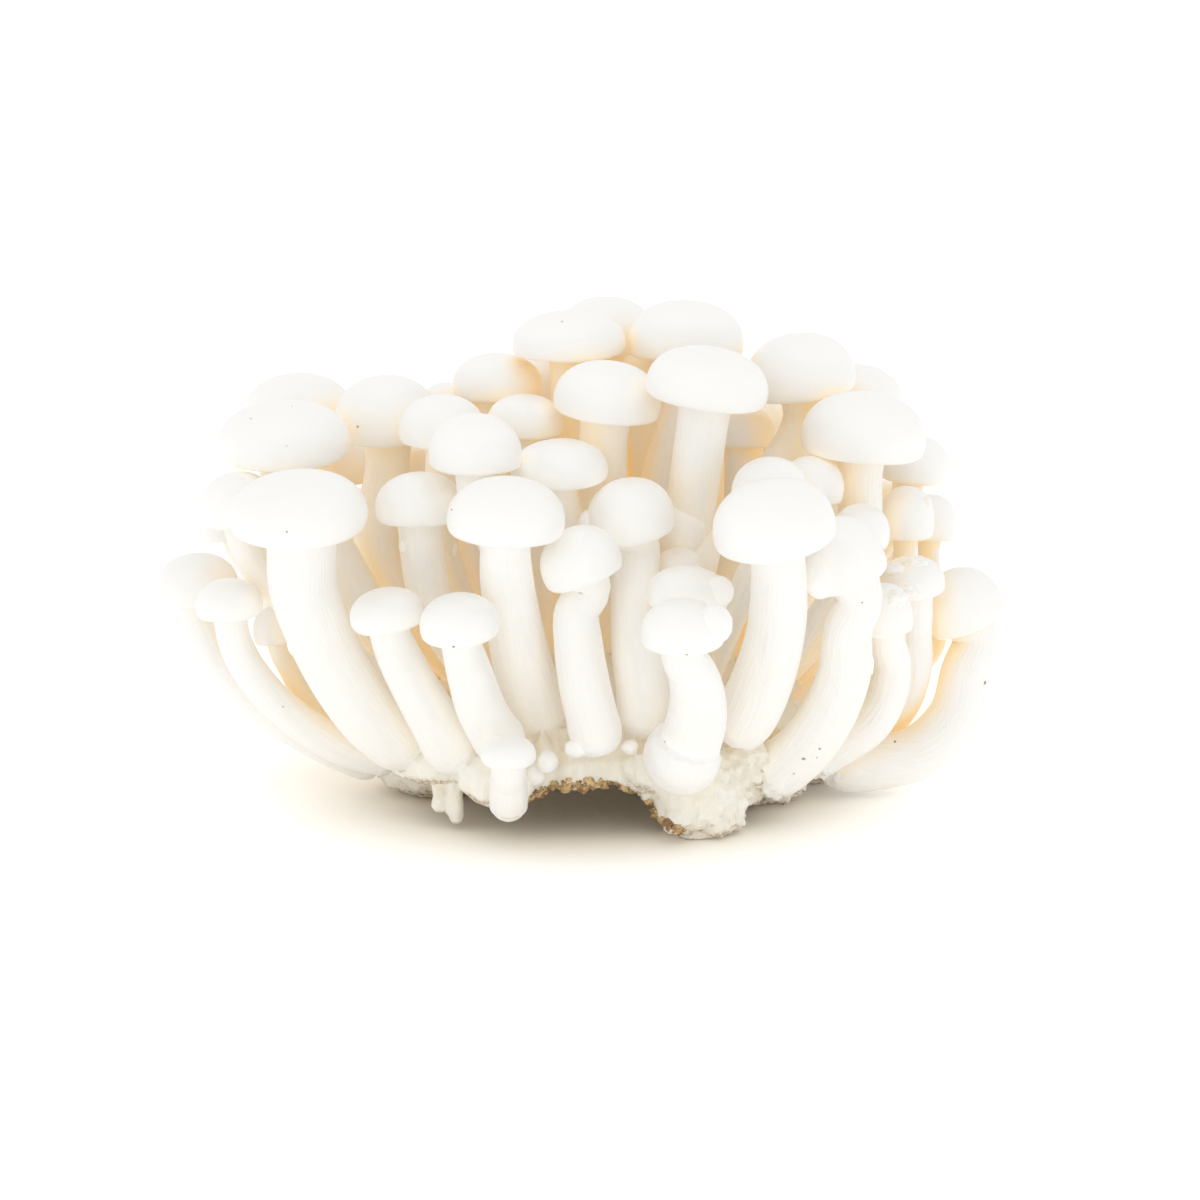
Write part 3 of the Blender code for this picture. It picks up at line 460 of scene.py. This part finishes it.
def fitted(name, grown):
    """A copy of the pattern mushroom over one mushroom's run and cap."""
    chance = random.Random(name)
    mesh = pattern.data.copy()
    thing = bpy.data.objects.new(name.replace("mushroom_", "grown_"), mesh)
    bpy.context.scene.collection.objects.link(thing)
    places = np.zeros((len(turn), 3))
    grain_of = np.zeros((len(turn), 3))
    cap_of, foot_of = np.zeros(len(turn)), np.zeros(len(turn))

    shares = np.array([share for kind, share, height in rings if kind == "stem"])
    wanted = grown.long * (FOOT_START + STEM_SHARE * shares)
    middles, sides, fronts = stem_frames(grown, wanted)
    radii = np.interp(wanted, grown.places, grown.radii)
    rounded = np.clip(1.0 - wanted / (FOOT_ROUND_REACH * grown.radii[0]), 0.0, 1.0)
    radii = radii * np.sqrt(1.0 - FOOT_ROUND_DEPTH * rounded**2)
    swelling = wanted / grown.long * STEM_SWELLS + chance.uniform(0, FULL_TURN)
    radii *= 1.0 + STEM_SWELL * np.sin(swelling)
    neck = min(radii[-1], WIDEST_NECK * grown.half)

    axis, side = grown.axis, turned(sides[-1], grown.axis)
    front = np.cross(axis, side)
    cap_wave = wavy(turn, chance, CAP_UNEVEN)
    edge_wave = wavy(turn, chance, EDGE_UNEVEN)
    stem_wave = wavy(turn, chance, STEM_UNEVEN)
    gill_depth = GILL_DEPTH * grown.tall
    for index, (kind, share, height) in enumerate(rings):
        rows = ring_of == index
        cosine, sine = np.cos(turn[rows])[:, None], np.sin(turn[rows])[:, None]
        if kind == "stem":
            round_it = cosine * sides[index] + sine * fronts[index]
            places[rows] = middles[index] + round_it * radii[index] * stem_wave[rows][:, None]
            grain_of[rows, 0] = radii[index] * cosine[:, 0]
            grain_of[rows, 1] = radii[index] * sine[:, 0]
            grain_of[rows, 2] = wanted[index]
            foot_of[rows] = 1.0 - share
            continue
        round_it = cosine * side + sine * front
        if kind == "gills":
            radius = neck + (GILL_EDGE * grown.half - neck) * share
            blade = blade_side[rows] * gill_depth * max(0.0, math.sin(math.pi * share)) ** 0.5
            rise = (height * grown.tall - blade)[:, None]
            spread = radius * np.ones((SIDES, 1))
        else:
            radius = share * grown.half
            spread = radius * cap_wave[rows][:, None]
            low = max(0.0, 1.0 - height / RIM_HEIGHT)
            rise = (grown.tall * (height + EDGE_DIP * low * (edge_wave[rows] - 1.0)))[:, None]
            cap_of[rows] = 1.0
        places[rows] = grown.rim + axis * rise + round_it * spread
        grain_of[rows, 0] = spread[:, 0] * cosine[:, 0]
        grain_of[rows, 1] = spread[:, 0] * sine[:, 0]
        grain_of[rows, 2] = grown.long + height * grown.tall
    places[top] = grown.rim + axis * grown.tall
    cap_of[top] = 1.0
    grain_of[top, 2] = grown.long + grown.tall
    places[bottom] = grown.foot
    foot_of[bottom] = 1.0
    mesh.vertices.foreach_set("co", places.astype(np.float32).ravel())
    hold(mesh, "grain", grain_of)
    hold(mesh, "on_cap", cap_of)
    hold(mesh, "to_foot", foot_of)
    mesh.materials.append(flesh)
    mesh.update()
    return thing


mushroom_names = [name for name in sorted(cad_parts) if name.startswith("mushroom_")]
mushrooms = {}
for name in mushroom_names:
    mushrooms[name] = fitted(name, Grown(name))
    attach(mushrooms[name], "root")
    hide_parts(name)

# Young ones
# Four slim young mushrooms of the same flesh, grown like the others. They stand deep inside the bunch, where
# the gaps between the front ones show flesh. Each has its foot and rim, its stem's radius, half its cap's
# width and its cap's height, in millimetres.
YOUNG_ONES = (
    ("young_1", (6.0, 12.0, 8.0), (9.5, 17.0, 60.0), 3.3, 5.4, 7.5),
    ("young_2", (18.0, 10.0, 8.0), (25.0, 13.0, 51.5), 3.2, 5.4, 6.5),
    ("young_3", (-10.0, 5.0, 8.0), (-16.0, 11.0, 54.5), 3.0, 5.2, 6.5),
    ("young_4", (-15.0, 7.0, 8.0), (-26.0, 12.0, 45.5), 2.8, 4.6, 6.0),
)
YOUNG_STEPS = 7
YOUNG_BOW = 2.5 * MM
YOUNG_TAPER = (1.15, 0.95)

for name, foot, rim, radius, half, tall in YOUNG_ONES:
    foot, rim = np.array(foot) * MM, np.array(rim) * MM
    shares = np.linspace(0.0, 1.0, YOUNG_STEPS)[:, None]
    points = foot + (rim - foot) * shares
    points[:, 0] += np.sign(rim[0]) * YOUNG_BOW * np.sin(math.pi * shares[:, 0])
    axis = (points[-1] - points[-2]) / np.linalg.norm(points[-1] - points[-2])
    places = distances_along(points)
    young = SimpleNamespace(foot=foot, rim=rim, axis=axis, tall=tall * MM, half=half * MM, points=points,
                            radii=radius * MM * np.linspace(*YOUNG_TAPER, YOUNG_STEPS), places=places,
                            long=places[-1])
    mushrooms[name] = fitted(name, young)
    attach(mushrooms[name], "root")
bpy.data.objects.remove(pattern)

# The butt
# The stems' ends grown together: a creamy, fibrous lump with finger-like pins, torn at the front right and
# browner underneath, where it was cut from its growing medium. The CAD butt and the lower ends of all stems
# are melted into one skin, so that every stem looks grown on.
BUTT_CREAM = (0.90, 0.88, 0.80, 1.0)
# The butt's own straw tint, which also serves as painted shade where it is shut in.
BUTT_STRAW_AND_SHADE = (0.88, 0.77, 0.56, 1.0)
BUTT_STAIN = (0.42, 0.27, 0.13, 1.0)
# Painted glow of the butt where it is shut in.
BUTT_PAINTED_GLOW = (0.46, 0.30, 0.10, 1.0)
BUTT_PAINTED_GLOW_STRENGTH = 0.22
BUTT_GLOW_FROM, BUTT_GLOW_TO = 0.12, 0.95
BUTT_BUMP = 0.5
BUTT_RELIEF = 0.0003
STRAND_STRETCH = 0.08
PATCH_FINENESS = 260.0
GRIT_FINENESS = 1500.0
DOWNWARD_FROM, DOWNWARD_TO = -0.35, -0.80
STAIN_TOP, STAIN_FULL = 0.012, 0.009

ROOT_LONG = 7.5 * MM
ROOT_SPREAD = 0.50 * MM
ROOT_SLACK = 0.70 * MM
FLARED_FEET = {"mushroom_front_6": (14.0 * MM, 1.3 * MM), "mushroom_low_1": (5.0 * MM, -0.25 * MM)}
SKIN_VOXEL = 0.48 * MM
SKIN_SMOOTHING = 6
FLUTE_RELIEF = 0.75 * MM
TORN_RELIEF = 2.2 * MM
FLUTES, FLUTE_RUN = 16.0, 60.0
SHRED_FINENESS = 640.0
TORN_REACH = 1.6
BARE_MARGIN = 0.5 * MM
RESTING_HEIGHT = 0.4 * MM
LEAST_HEIGHT = 0.02 * MM

# Lumps that are melted in, four in the torn corner and the round foot of front_6: column and row in the
# picture, y and radius in millimetres.
LUMPS = ((742, 774, -21.0, 2.8), (728, 790, -22.5, 2.4), (718, 818, -24.0, 2.6), (694, 824, -25.5, 2.0),
         (682, 757, -32.6, 5.7))

# Where the butt is torn: column and row in the picture, y and reach in millimetres.
TORN = ((716, 812, -24.0, 6.0), (744, 780, -22.0, 5.5), (690, 826, -26.0, 4.0), (770, 806, -18.0, 6.0),
        (812, 796, -14.0, 6.0), (640, 790, -24.0, 3.0))


def only(thing):
    """Makes this the one selected and active object."""
    bpy.ops.object.select_all(action="DESELECT")
    thing.select_set(True)
    bpy.context.view_layer.objects.active = thing


def held(mesh, field):
    """The place or the normal of each point of the mesh."""
    values = np.zeros(3 * len(mesh.vertices))
    mesh.vertices.foreach_get(field, values)
    return values.reshape(-1, 3)


def soup_of(things):
    """One tree of all these pieces' faces, to find what a line meets first."""
    points, faces = [], []
    for thing in things:
        start = len(points)
        points.extend(map(tuple, held(thing.data, "co")))
        faces.extend([start + index for index in face.vertices] for face in thing.data.polygons)
    return BVHTree.FromPolygons(points, faces)


def root_of(mushroom, long, spread):
    """The lower end of a mushroom's stem, spread at its foot and a little slack at its cut end."""
    root = mushroom.copy()
    root.data = mushroom.data.copy()
    root.parent = None
    bpy.context.scene.collection.objects.link(root)
    mesh = root.data
    along = np.zeros(3 * len(mesh.vertices))
    mesh.attributes["grain"].data.foreach_get("vector", along)
    along = along.reshape(-1, 3)[:, 2]
    share = np.clip(along / long, 0.0, 1.0)
    swell = spread * (1.0 - share) ** 1.5 - ROOT_SLACK * share
    swollen = held(mesh, "co") + held(mesh, "normal") * swell[:, None]
    mesh.vertices.foreach_set("co", swollen.ravel())
    only(root)
    bpy.ops.object.mode_set(mode="EDIT")
    bpy.ops.mesh.select_all(action="DESELECT")
    bpy.ops.object.mode_set(mode="OBJECT")
    mesh.vertices.foreach_set("select", along > long)
    bpy.ops.object.mode_set(mode="EDIT")
    bpy.ops.mesh.delete(type="VERT")
    bpy.ops.mesh.select_all(action="SELECT")
    bpy.ops.mesh.region_to_loop()
    bpy.ops.mesh.edge_face_add()
    bpy.ops.object.mode_set(mode="OBJECT")
    return root


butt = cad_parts["base"].copy()
butt.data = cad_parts["base"].data.copy()
butt.name = "grown_butt"
butt.parent = None
for label in [key for key in butt.keys() if key.startswith("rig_")]:
    del butt[label]
bpy.context.scene.collection.objects.link(butt)
butt.hide_render = False
melted = [root_of(mushrooms[name], *FLARED_FEET.get(name, (ROOT_LONG, ROOT_SPREAD)))
          for name in mushroom_names]
for column, row, depth, radius in LUMPS:
    bpy.ops.object.select_all(action="DESELECT")
    bpy.ops.mesh.primitive_ico_sphere_add(subdivisions=3, radius=radius * MM,
                                          location=seen_at(column, row, depth))
    melted.append(bpy.context.active_object)
only(butt)
bpy.ops.object.mode_set(mode="EDIT")
bpy.ops.mesh.select_all(action="SELECT")
bpy.ops.mesh.remove_doubles(threshold=SAME_POINT)
bpy.ops.object.mode_set(mode="OBJECT")
for thing in melted:
    thing.select_set(True)
bpy.ops.object.join()
butt.data.materials.clear()
butt.data.remesh_voxel_size = SKIN_VOXEL
bpy.ops.object.voxel_remesh()
smooth = butt.modifiers.new("melted", "SMOOTH")
smooth.factor = 0.5
smooth.iterations = SKIN_SMOOTHING
bpy.ops.object.modifier_apply(modifier=smooth.name)

# The skin's relief: flutes down its bare sides, and shreds where it is torn.
low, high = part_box("base")
butt_middle = 0.5 * (np.array(low) + np.array(high))
places, normals = held(butt.data, "co"), held(butt.data, "normal")
torn = np.zeros(len(places))
for column, row, depth, reach in TORN:
    off_spot = np.linalg.norm(places - np.array(seen_at(column, row, depth)), axis=1)
    torn = np.maximum(torn, 1.0 - off_spot / (TORN_REACH * (reach * MM)))
ways_round = np.arctan2(places[:, 1] - butt_middle[1], places[:, 0] - butt_middle[0])
flutes = np.array([fractal((way * FLUTES, height * FLUTE_RUN, 3.0), 0.7, 2.1, 3)
                   for way, height in zip(ways_round, places[:, 2])])
shreds = np.array([fractal(place * SHRED_FINENESS, 0.8, 2.2, 4) for place in places])
cad_butt = soup_of([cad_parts["base"]])
off_cad = np.array([cad_butt.find_nearest(place)[3] for place in places])
bare = np.clip(1.3 - off_cad / BARE_MARGIN, 0.0, 1.0)
push = FLUTE_RELIEF * (1.0 - np.abs(normals[:, 2])) * flutes * bare + TORN_RELIEF * torn * shreds
push *= places[:, 2] > RESTING_HEIGHT
places += normals * push[:, None]
places[:, 2] = np.maximum(places[:, 2], LEAST_HEIGHT)
butt.data.vertices.foreach_set("co", places.ravel())
butt.data.update()
hold(butt.data, "torn", torn)
hold(butt.data, "bare", bare)
bpy.ops.object.shade_smooth()

butt_flesh, tree, shader = new_material("butt_flesh")
where = own_place(tree)
facing_up = part_of(node("ShaderNodeNewGeometry", tree, 1, {}, {}), 2)
crowding, on_butt = attribute(tree, "crowding"), attribute(tree, "bare")
strands = noise(tree, drawn_out(where, STRAND_STRETCH), FIBRE_FINENESS, 2.0, 0.6)
patches = noise(tree, where, PATCH_FINENESS, 2.0, 0.6)
grit = noise(tree, where, GRIT_FINENESS, 3.0, 0.7)
# Straw from strands, patches and torn places, and painted shade where the butt is shut in.
straw_and_shade = (strands - 0.45) * 0.7 + (patches - 0.5) * 0.8 + crowding * 0.35 + attribute(tree, "torn") * 0.25
colour = mix(straw_and_shade.between(0.0, 1.2), BUTT_CREAM, BUTT_STRAW_AND_SHADE)
stain = facing_up.between(DOWNWARD_FROM, DOWNWARD_TO) * grit.between(0.40, 0.62)
stain = stain * part_of(where, 2).between(STAIN_TOP, STAIN_FULL)
colour = mix(stain * on_butt, colour, BUTT_STAIN)
link(mix(on_butt, FLESH, colour), shader, "Base Color")
link(0.55 + (grit - 0.5) * 0.3, shader, "Roughness")
link(bumped(tree, strands + grit * 0.5, BUTT_BUMP, BUTT_RELIEF), shader, "Normal")
# Painted glow where the butt is shut in.
shut_in = crowding.between(BUTT_GLOW_FROM, BUTT_GLOW_TO)
glow_colour = mix(shut_in, PAINTED_GLOW_PALE, BUTT_PAINTED_GLOW)
link(mix(shut_in, NO_GLOW, glow_colour), shader, "Emission Color")
shader.inputs["Emission Strength"].default_value = BUTT_PAINTED_GLOW_STRENGTH
butt_flesh.cycles.emission_sampling = "NONE"
butt.data.materials.append(butt_flesh)
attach(butt, "root")
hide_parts("base")

# Lobes, buds and torn flaps
# Small swellings of the same white flesh: side lobes on caps, caps that never opened and torn flaps. Each is
# sunk into what the camera sees at its column and row. Its width and height follow in millimetres, and then
# how deep it sits, as a share of half its width.
SWELLINGS = (
    ("front_6_lobe", 715, 624, 4.912, 5.526, 0.42), ("front_7_lobe", 719, 592, 4.298, 4.605, 0.5),
    ("front_4_nub", 588, 524, 2.763, 3.991, 0.5), ("front_10_lobe", 820, 574, 5.219, 7.368, 0.5),
    ("middle_1_bud_a", 403, 546, 1.228, 1.9955, 0.3), ("middle_1_bud_b", 455, 550, 1.0745, 2.149, 0.3),
    ("front_9_bud", 711, 548, 2.6095, 4.605, 0.3), ("middle_10_stub", 682, 524, 7.675, 9.824, 0.68),
    ("middle_10_foot", 700, 552, 6.14, 7.675, 0.6), ("right_6_stub", 947, 495, 1.3815, 2.149, 0.3),
    ("right_3_flap_a", 893, 570, 4.605, 2.456, 0.4), ("right_3_flap_b", 916, 563, 3.991, 2.149, 0.45),
    ("right_3_flap_c", 905, 590, 5.219, 2.456, 0.5), ("right_2_flap", 896, 600, 3.377, 2.763, 0.5),
    ("foot_bud_a", 548, 762, 3.07, 3.377, 0.2), ("foot_bud_b", 536, 776, 2.763, 2.9165, 0.25),
    ("foot_bud_c", 577, 749, 3.684, 2.763, 0.35), ("foot_bud_d", 630, 747, 2.6095, 1.9955, 0.35),
)
BUD_UNEVEN, BUD_FOLDS = 0.05, 0.8
FLAP_UNEVEN, FLAP_FOLDS = 0.20, 1.5
BEHIND_EDGE = -5.0
UNLIKE_EACH_OTHER = 900.0

crowd = list(mushrooms.values()) + [butt]
soup = soup_of(crowd)
for label, column, row, wide, tall, sunk in SWELLINGS:
    place = soup.ray_cast(eye, sight(column, row))[0]
    if place is None:
        place = soup.find_nearest(seen_at(column, row, BEHIND_EDGE))[0]
    half_wide, half_tall = 0.5 * wide * MM, 0.5 * tall * MM
    middle = place + sight(column, row) * half_wide * sunk
    bpy.ops.object.select_all(action="DESELECT")
    bpy.ops.mesh.primitive_ico_sphere_add(subdivisions=4, radius=1.0)
    swelling = bpy.context.active_object
    swelling.name = label
    uneven, folds = (FLAP_UNEVEN, FLAP_FOLDS) if "flap" in label else (BUD_UNEVEN, BUD_FOLDS)
    for vertex in swelling.data.vertices:
        dents = fractal(vertex.co * folds + middle * UNLIKE_EACH_OTHER, 0.8, 2.1, 3)
        across, back, up = vertex.co * (1.0 + uneven * dents)
        offset = Vector((across * half_wide, 0.0, 0.0)) + line_of_sight * back * half_wide
        vertex.co = middle + offset + sheet_up * up * half_tall
    swelling.data.update()
    bpy.ops.object.shade_smooth()
    hold(swelling.data, "grain", held(swelling.data, "co"))
    hold(swelling.data, "on_cap", np.ones(len(swelling.data.vertices)))
    swelling.data.materials.append(flesh)
    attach(swelling, "root")
    crowd.append(swelling)

# How shut in the flesh is
# Flesh that its neighbours shut in gets painted shade, a warm straw tint in its colour, and a painted glow.
# Each point of the bunch looks 26 ways for its neighbours, and the materials of flesh and butt read how many
# of them it meets.
SHUT_IN_REACH = 22.0 * MM
LEAST_FACING = 0.12
OFF_SURFACE = 0.25
FAR_SHARE = 0.5
EVENING_ROUNDS = 3

ways = [Vector((x, y, z)).normalized() for x in (-1, 0, 1) for y in (-1, 0, 1) for z in (-1, 0, 1)
        if (x, y, z) != (0, 0, 0)]
ways_table = np.array(ways)
for thing in crowd:
    mesh = thing.data
    points, normals = held(mesh, "co"), held(mesh, "normal")
    facing = np.maximum(normals @ ways_table.T - LEAST_FACING, 0.0)
    starts = points + normals * OFF_SURFACE * MM
    shut = np.zeros(len(points))
    for index in range(len(points)):
        start, blocked = Vector(starts[index]), 0.0
        for way, share in zip(ways, facing[index]):
            if share > 0.0:
                hit = soup.ray_cast(start, way, SHUT_IN_REACH)[3]
                if hit is not None:
                    blocked += share * (1.0 - FAR_SHARE * hit / SHUT_IN_REACH)
        shut[index] = blocked / max(facing[index].sum(), 1e-6)

    # Each point shares its number with its neighbours, a few times over.
    bonds = np.zeros(2 * len(mesh.edges), dtype=int)
    mesh.edges.foreach_get("vertices", bonds)
    first, second = bonds.reshape(-1, 2).T
    for evening in range(EVENING_ROUNDS):
        total, number = shut.copy(), np.ones(len(shut))
        np.add.at(total, first, shut[second])
        np.add.at(total, second, shut[first])
        np.add.at(number, first, 1.0)
        np.add.at(number, second, 1.0)
        shut = total / number
    hold(mesh, "crowding", shut)

# The crust of growing medium
# Brown, crumbly bits that still stick along the butt's lower front edge and to its underside, and single
# specks on caps and stems. One crumb is copied to every place, squashed and made uneven.
MEDIUM_BROWN = (0.30, 0.17, 0.07, 1.0)
MEDIUM_TAN = (0.72, 0.52, 0.26, 1.0)
MEDIUM_DARK = (0.12, 0.07, 0.035, 1.0)
MEDIUM_BUMP = 0.6
MEDIUM_RELIEF = 0.0002
SPECKLE_FINENESS = 1400.0
LUMP_FINENESS = 420.0
CRUMBS_ON_EDGE = 260
CRUMBS_UNDER = 420
CRUMB_LEAST = 0.22 * MM
CRUMB_MOST = 0.85 * MM
EDGE_CRUMBS_SIZE, UNDER_CRUMBS_SIZE = 0.8, 1.3
UNEVEN_LEAST, UNEVEN_MOST = 0.7, 1.3
FLAT_LEAST, FLAT_MOST = 0.5, 1.0
EDGE_SPREAD = 3.2
FRONT_SIDE = -8.0 * MM
CRUST_THICK = 1.0 * MM

# The butt's lower front edge in the picture, where the crumbs stick.
EDGE_COLUMNS = (528, 548, 575, 600, 622, 640, 655, 668, 684)
EDGE_ROWS = (800, 790, 786, 788, 793, 801, 815, 826, 832)

# Single specks on caps and stems: column, row and radius in millimetres.
SPECKS = (
    (251, 419, 0.13), (292, 407, 0.12), (287, 446, 0.12), (358, 427, 0.26), (287, 532, 0.14),
    (283, 707, 0.13), (452, 510, 0.16), (454, 647, 0.18), (687, 655, 0.20), (862, 603, 0.20),
    (804, 759, 0.34), (820, 749, 0.16), (817, 758, 0.13), (794, 774, 0.16), (985, 683, 0.30),
    (895, 742, 0.22), (665, 742, 0.13), (803, 803, 0.6), (798, 800, 0.45), (562, 322, 0.12),
)

crust = random.Random(7)
crumb_places = []
for column, row, size in SPECKS:
    place = soup.ray_cast(eye, sight(column, row))[0]
    if place is not None:
        crumb_places.append((place, size * MM))
for index in range(CRUMBS_ON_EDGE):
    column = crust.uniform(EDGE_COLUMNS[0], EDGE_COLUMNS[-1])
    row = float(np.interp(column, EDGE_COLUMNS, EDGE_ROWS)) + crust.gauss(0.0, EDGE_SPREAD)
    place = soup.ray_cast(eye, sight(column, row))[0]
    if place is not None and place.y < FRONT_SIDE:
        crumb_places.append((place, crust.uniform(CRUMB_LEAST, CRUMB_MOST) * EDGE_CRUMBS_SIZE))
low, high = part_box("substrate")
for index in range(CRUMBS_UNDER):
    way_round, out = crust.uniform(0.0, 2.0 * math.pi), math.sqrt(crust.random())
    x = 0.5 * (low.x + high.x) + 0.5 * (high.x - low.x) * out * math.cos(way_round)
    y = 0.5 * (low.y + high.y) + 0.5 * (high.y - low.y) * out * math.sin(way_round)
    place = soup.ray_cast(Vector((x, y, 0.0)), Vector((0.0, 0.0, 1.0)))[0]
    if place is not None and place.z < high.z + CRUST_THICK:
        crumb_places.append((place, crust.uniform(CRUMB_LEAST, CRUMB_MOST) * UNDER_CRUMBS_SIZE))

bpy.ops.object.select_all(action="DESELECT")
bpy.ops.mesh.primitive_ico_sphere_add(subdivisions=1, radius=1.0)
crumbs = bpy.context.active_object
crumbs.name = "crumbs"
one_crumb = [vertex.co.copy() for vertex in crumbs.data.vertices]
one_crumb_faces = [list(face.vertices) for face in crumbs.data.polygons]
crumb_points, crumb_faces = [], []
for place, size in crumb_places:
    squash = Vector((crust.uniform(UNEVEN_LEAST, UNEVEN_MOST), crust.uniform(UNEVEN_LEAST, UNEVEN_MOST),
                     crust.uniform(FLAT_LEAST, FLAT_MOST)))
    crumb_faces += [[len(crumb_points) + index for index in face] for face in one_crumb_faces]
    crumb_points += [place + point * squash * size * crust.uniform(UNEVEN_LEAST, UNEVEN_MOST)
                     for point in one_crumb]
crumbs.data.clear_geometry()
crumbs.data.from_pydata(crumb_points, [], crumb_faces)

medium, tree, shader = new_material("growing_medium")
where = own_place(tree)
speckle = noise(tree, where, SPECKLE_FINENESS, 4.0, 0.7)
lumps = noise(tree, where, LUMP_FINENESS, 2.0)
colour = mix(lumps.between(0.40, 0.62), MEDIUM_BROWN, MEDIUM_TAN)
link(mix(speckle.between(0.52, 0.66), colour, MEDIUM_DARK), shader, "Base Color")
link(0.7 + (speckle - 0.5) * 0.4, shader, "Roughness")
link(bumped(tree, speckle, MEDIUM_BUMP, MEDIUM_RELIEF), shader, "Normal")
crumbs.data.materials.append(medium)
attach(crumbs, "root")
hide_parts("substrate")

# The floor
# A plain white sheet that the bunch stands on. Close by the bunch a warm tint is painted into its colour,
# standing for shade and for light from the flesh. Further out the sheet glows a little, painted light that
# narrows the bunch's shadow.
FLOOR_SIZE = 24.0
SHEET_WHITE = (0.955, 0.955, 0.955, 1.0)
SHEET_WHITER = (0.965, 0.965, 0.965, 1.0)
# A warm tint painted near the bunch, standing for shade and light from the flesh.
SHEET_PAINTED_WARMTH = (0.955, 0.905, 0.80, 1.0)
# Painted glow of the sheet away from the bunch, which narrows its shadow.
FLOOR_PAINTED_GLOW = (1.0, 1.0, 1.0, 1.0)
FLOOR_PAINTED_GLOW_STRENGTH = 0.26
FLOOR_GLOW_FROM, FLOOR_GLOW_FULL = 0.026, 0.052
WARM_FULL, WARM_OUT_TO = 0.030, 0.062
SHEET_FINENESS = 900.0
SHEET_ROUGHNESS = 0.85

white_sheet, tree, shader = new_material("white_sheet")
where = own_place(tree)
white = mix(noise(tree, where, SHEET_FINENESS).between(0.3, 0.7), SHEET_WHITE, SHEET_WHITER)
away = node("ShaderNodeVectorMath", tree, 1, {"operation": "LENGTH"}, {0: where})
# Painted warm shade close by the bunch.
link(mix(away.between(WARM_OUT_TO, WARM_FULL), white, SHEET_PAINTED_WARMTH), shader, "Base Color")
# Painted glow further out.
floor_glow = mix(away.between(FLOOR_GLOW_FROM, FLOOR_GLOW_FULL), NO_GLOW, FLOOR_PAINTED_GLOW)
link(floor_glow, shader, "Emission Color")
shader.inputs["Emission Strength"].default_value = FLOOR_PAINTED_GLOW_STRENGTH
shader.inputs["Roughness"].default_value = SHEET_ROUGHNESS
white_sheet.cycles.emission_sampling = "NONE"
bpy.ops.mesh.primitive_plane_add(size=FLOOR_SIZE, location=(0.0, 0.0, 0.0))
floor = bpy.context.active_object
floor.name = "floor"
floor.data.materials.append(white_sheet)

# The light
# A white studio: light from all round, a broad soft box overhead and a weaker one from the front left. Each
# box has its place, its width and its power.
LIT_PLACE = Vector((0.0, 0.0, 0.03))
SOFT_BOXES = (("light_above", (-0.1, -0.1, 0.9), 0.8, 0.35), ("light_front", (-0.4, -0.9, 0.5), 0.6, 0.20))

world = bpy.data.worlds.new("studio")
bpy.context.scene.world = world
world.use_nodes = True
world.node_tree.nodes["Background"].inputs["Color"].default_value = (1.0, 1.0, 1.0, 1.0)
world.node_tree.nodes["Background"].inputs["Strength"].default_value = 1.0
for name, place, size, power in SOFT_BOXES:
    bpy.ops.object.light_add(type="AREA", location=place)
    lamp = bpy.context.active_object
    lamp.name = name
    lamp.data.shape = "DISK"
    lamp.data.size = size
    lamp.data.energy = power
    lamp.rotation_mode = "QUATERNION"
    lamp.rotation_quaternion = (LIT_PLACE - Vector(place)).to_track_quat("-Z", "Y")
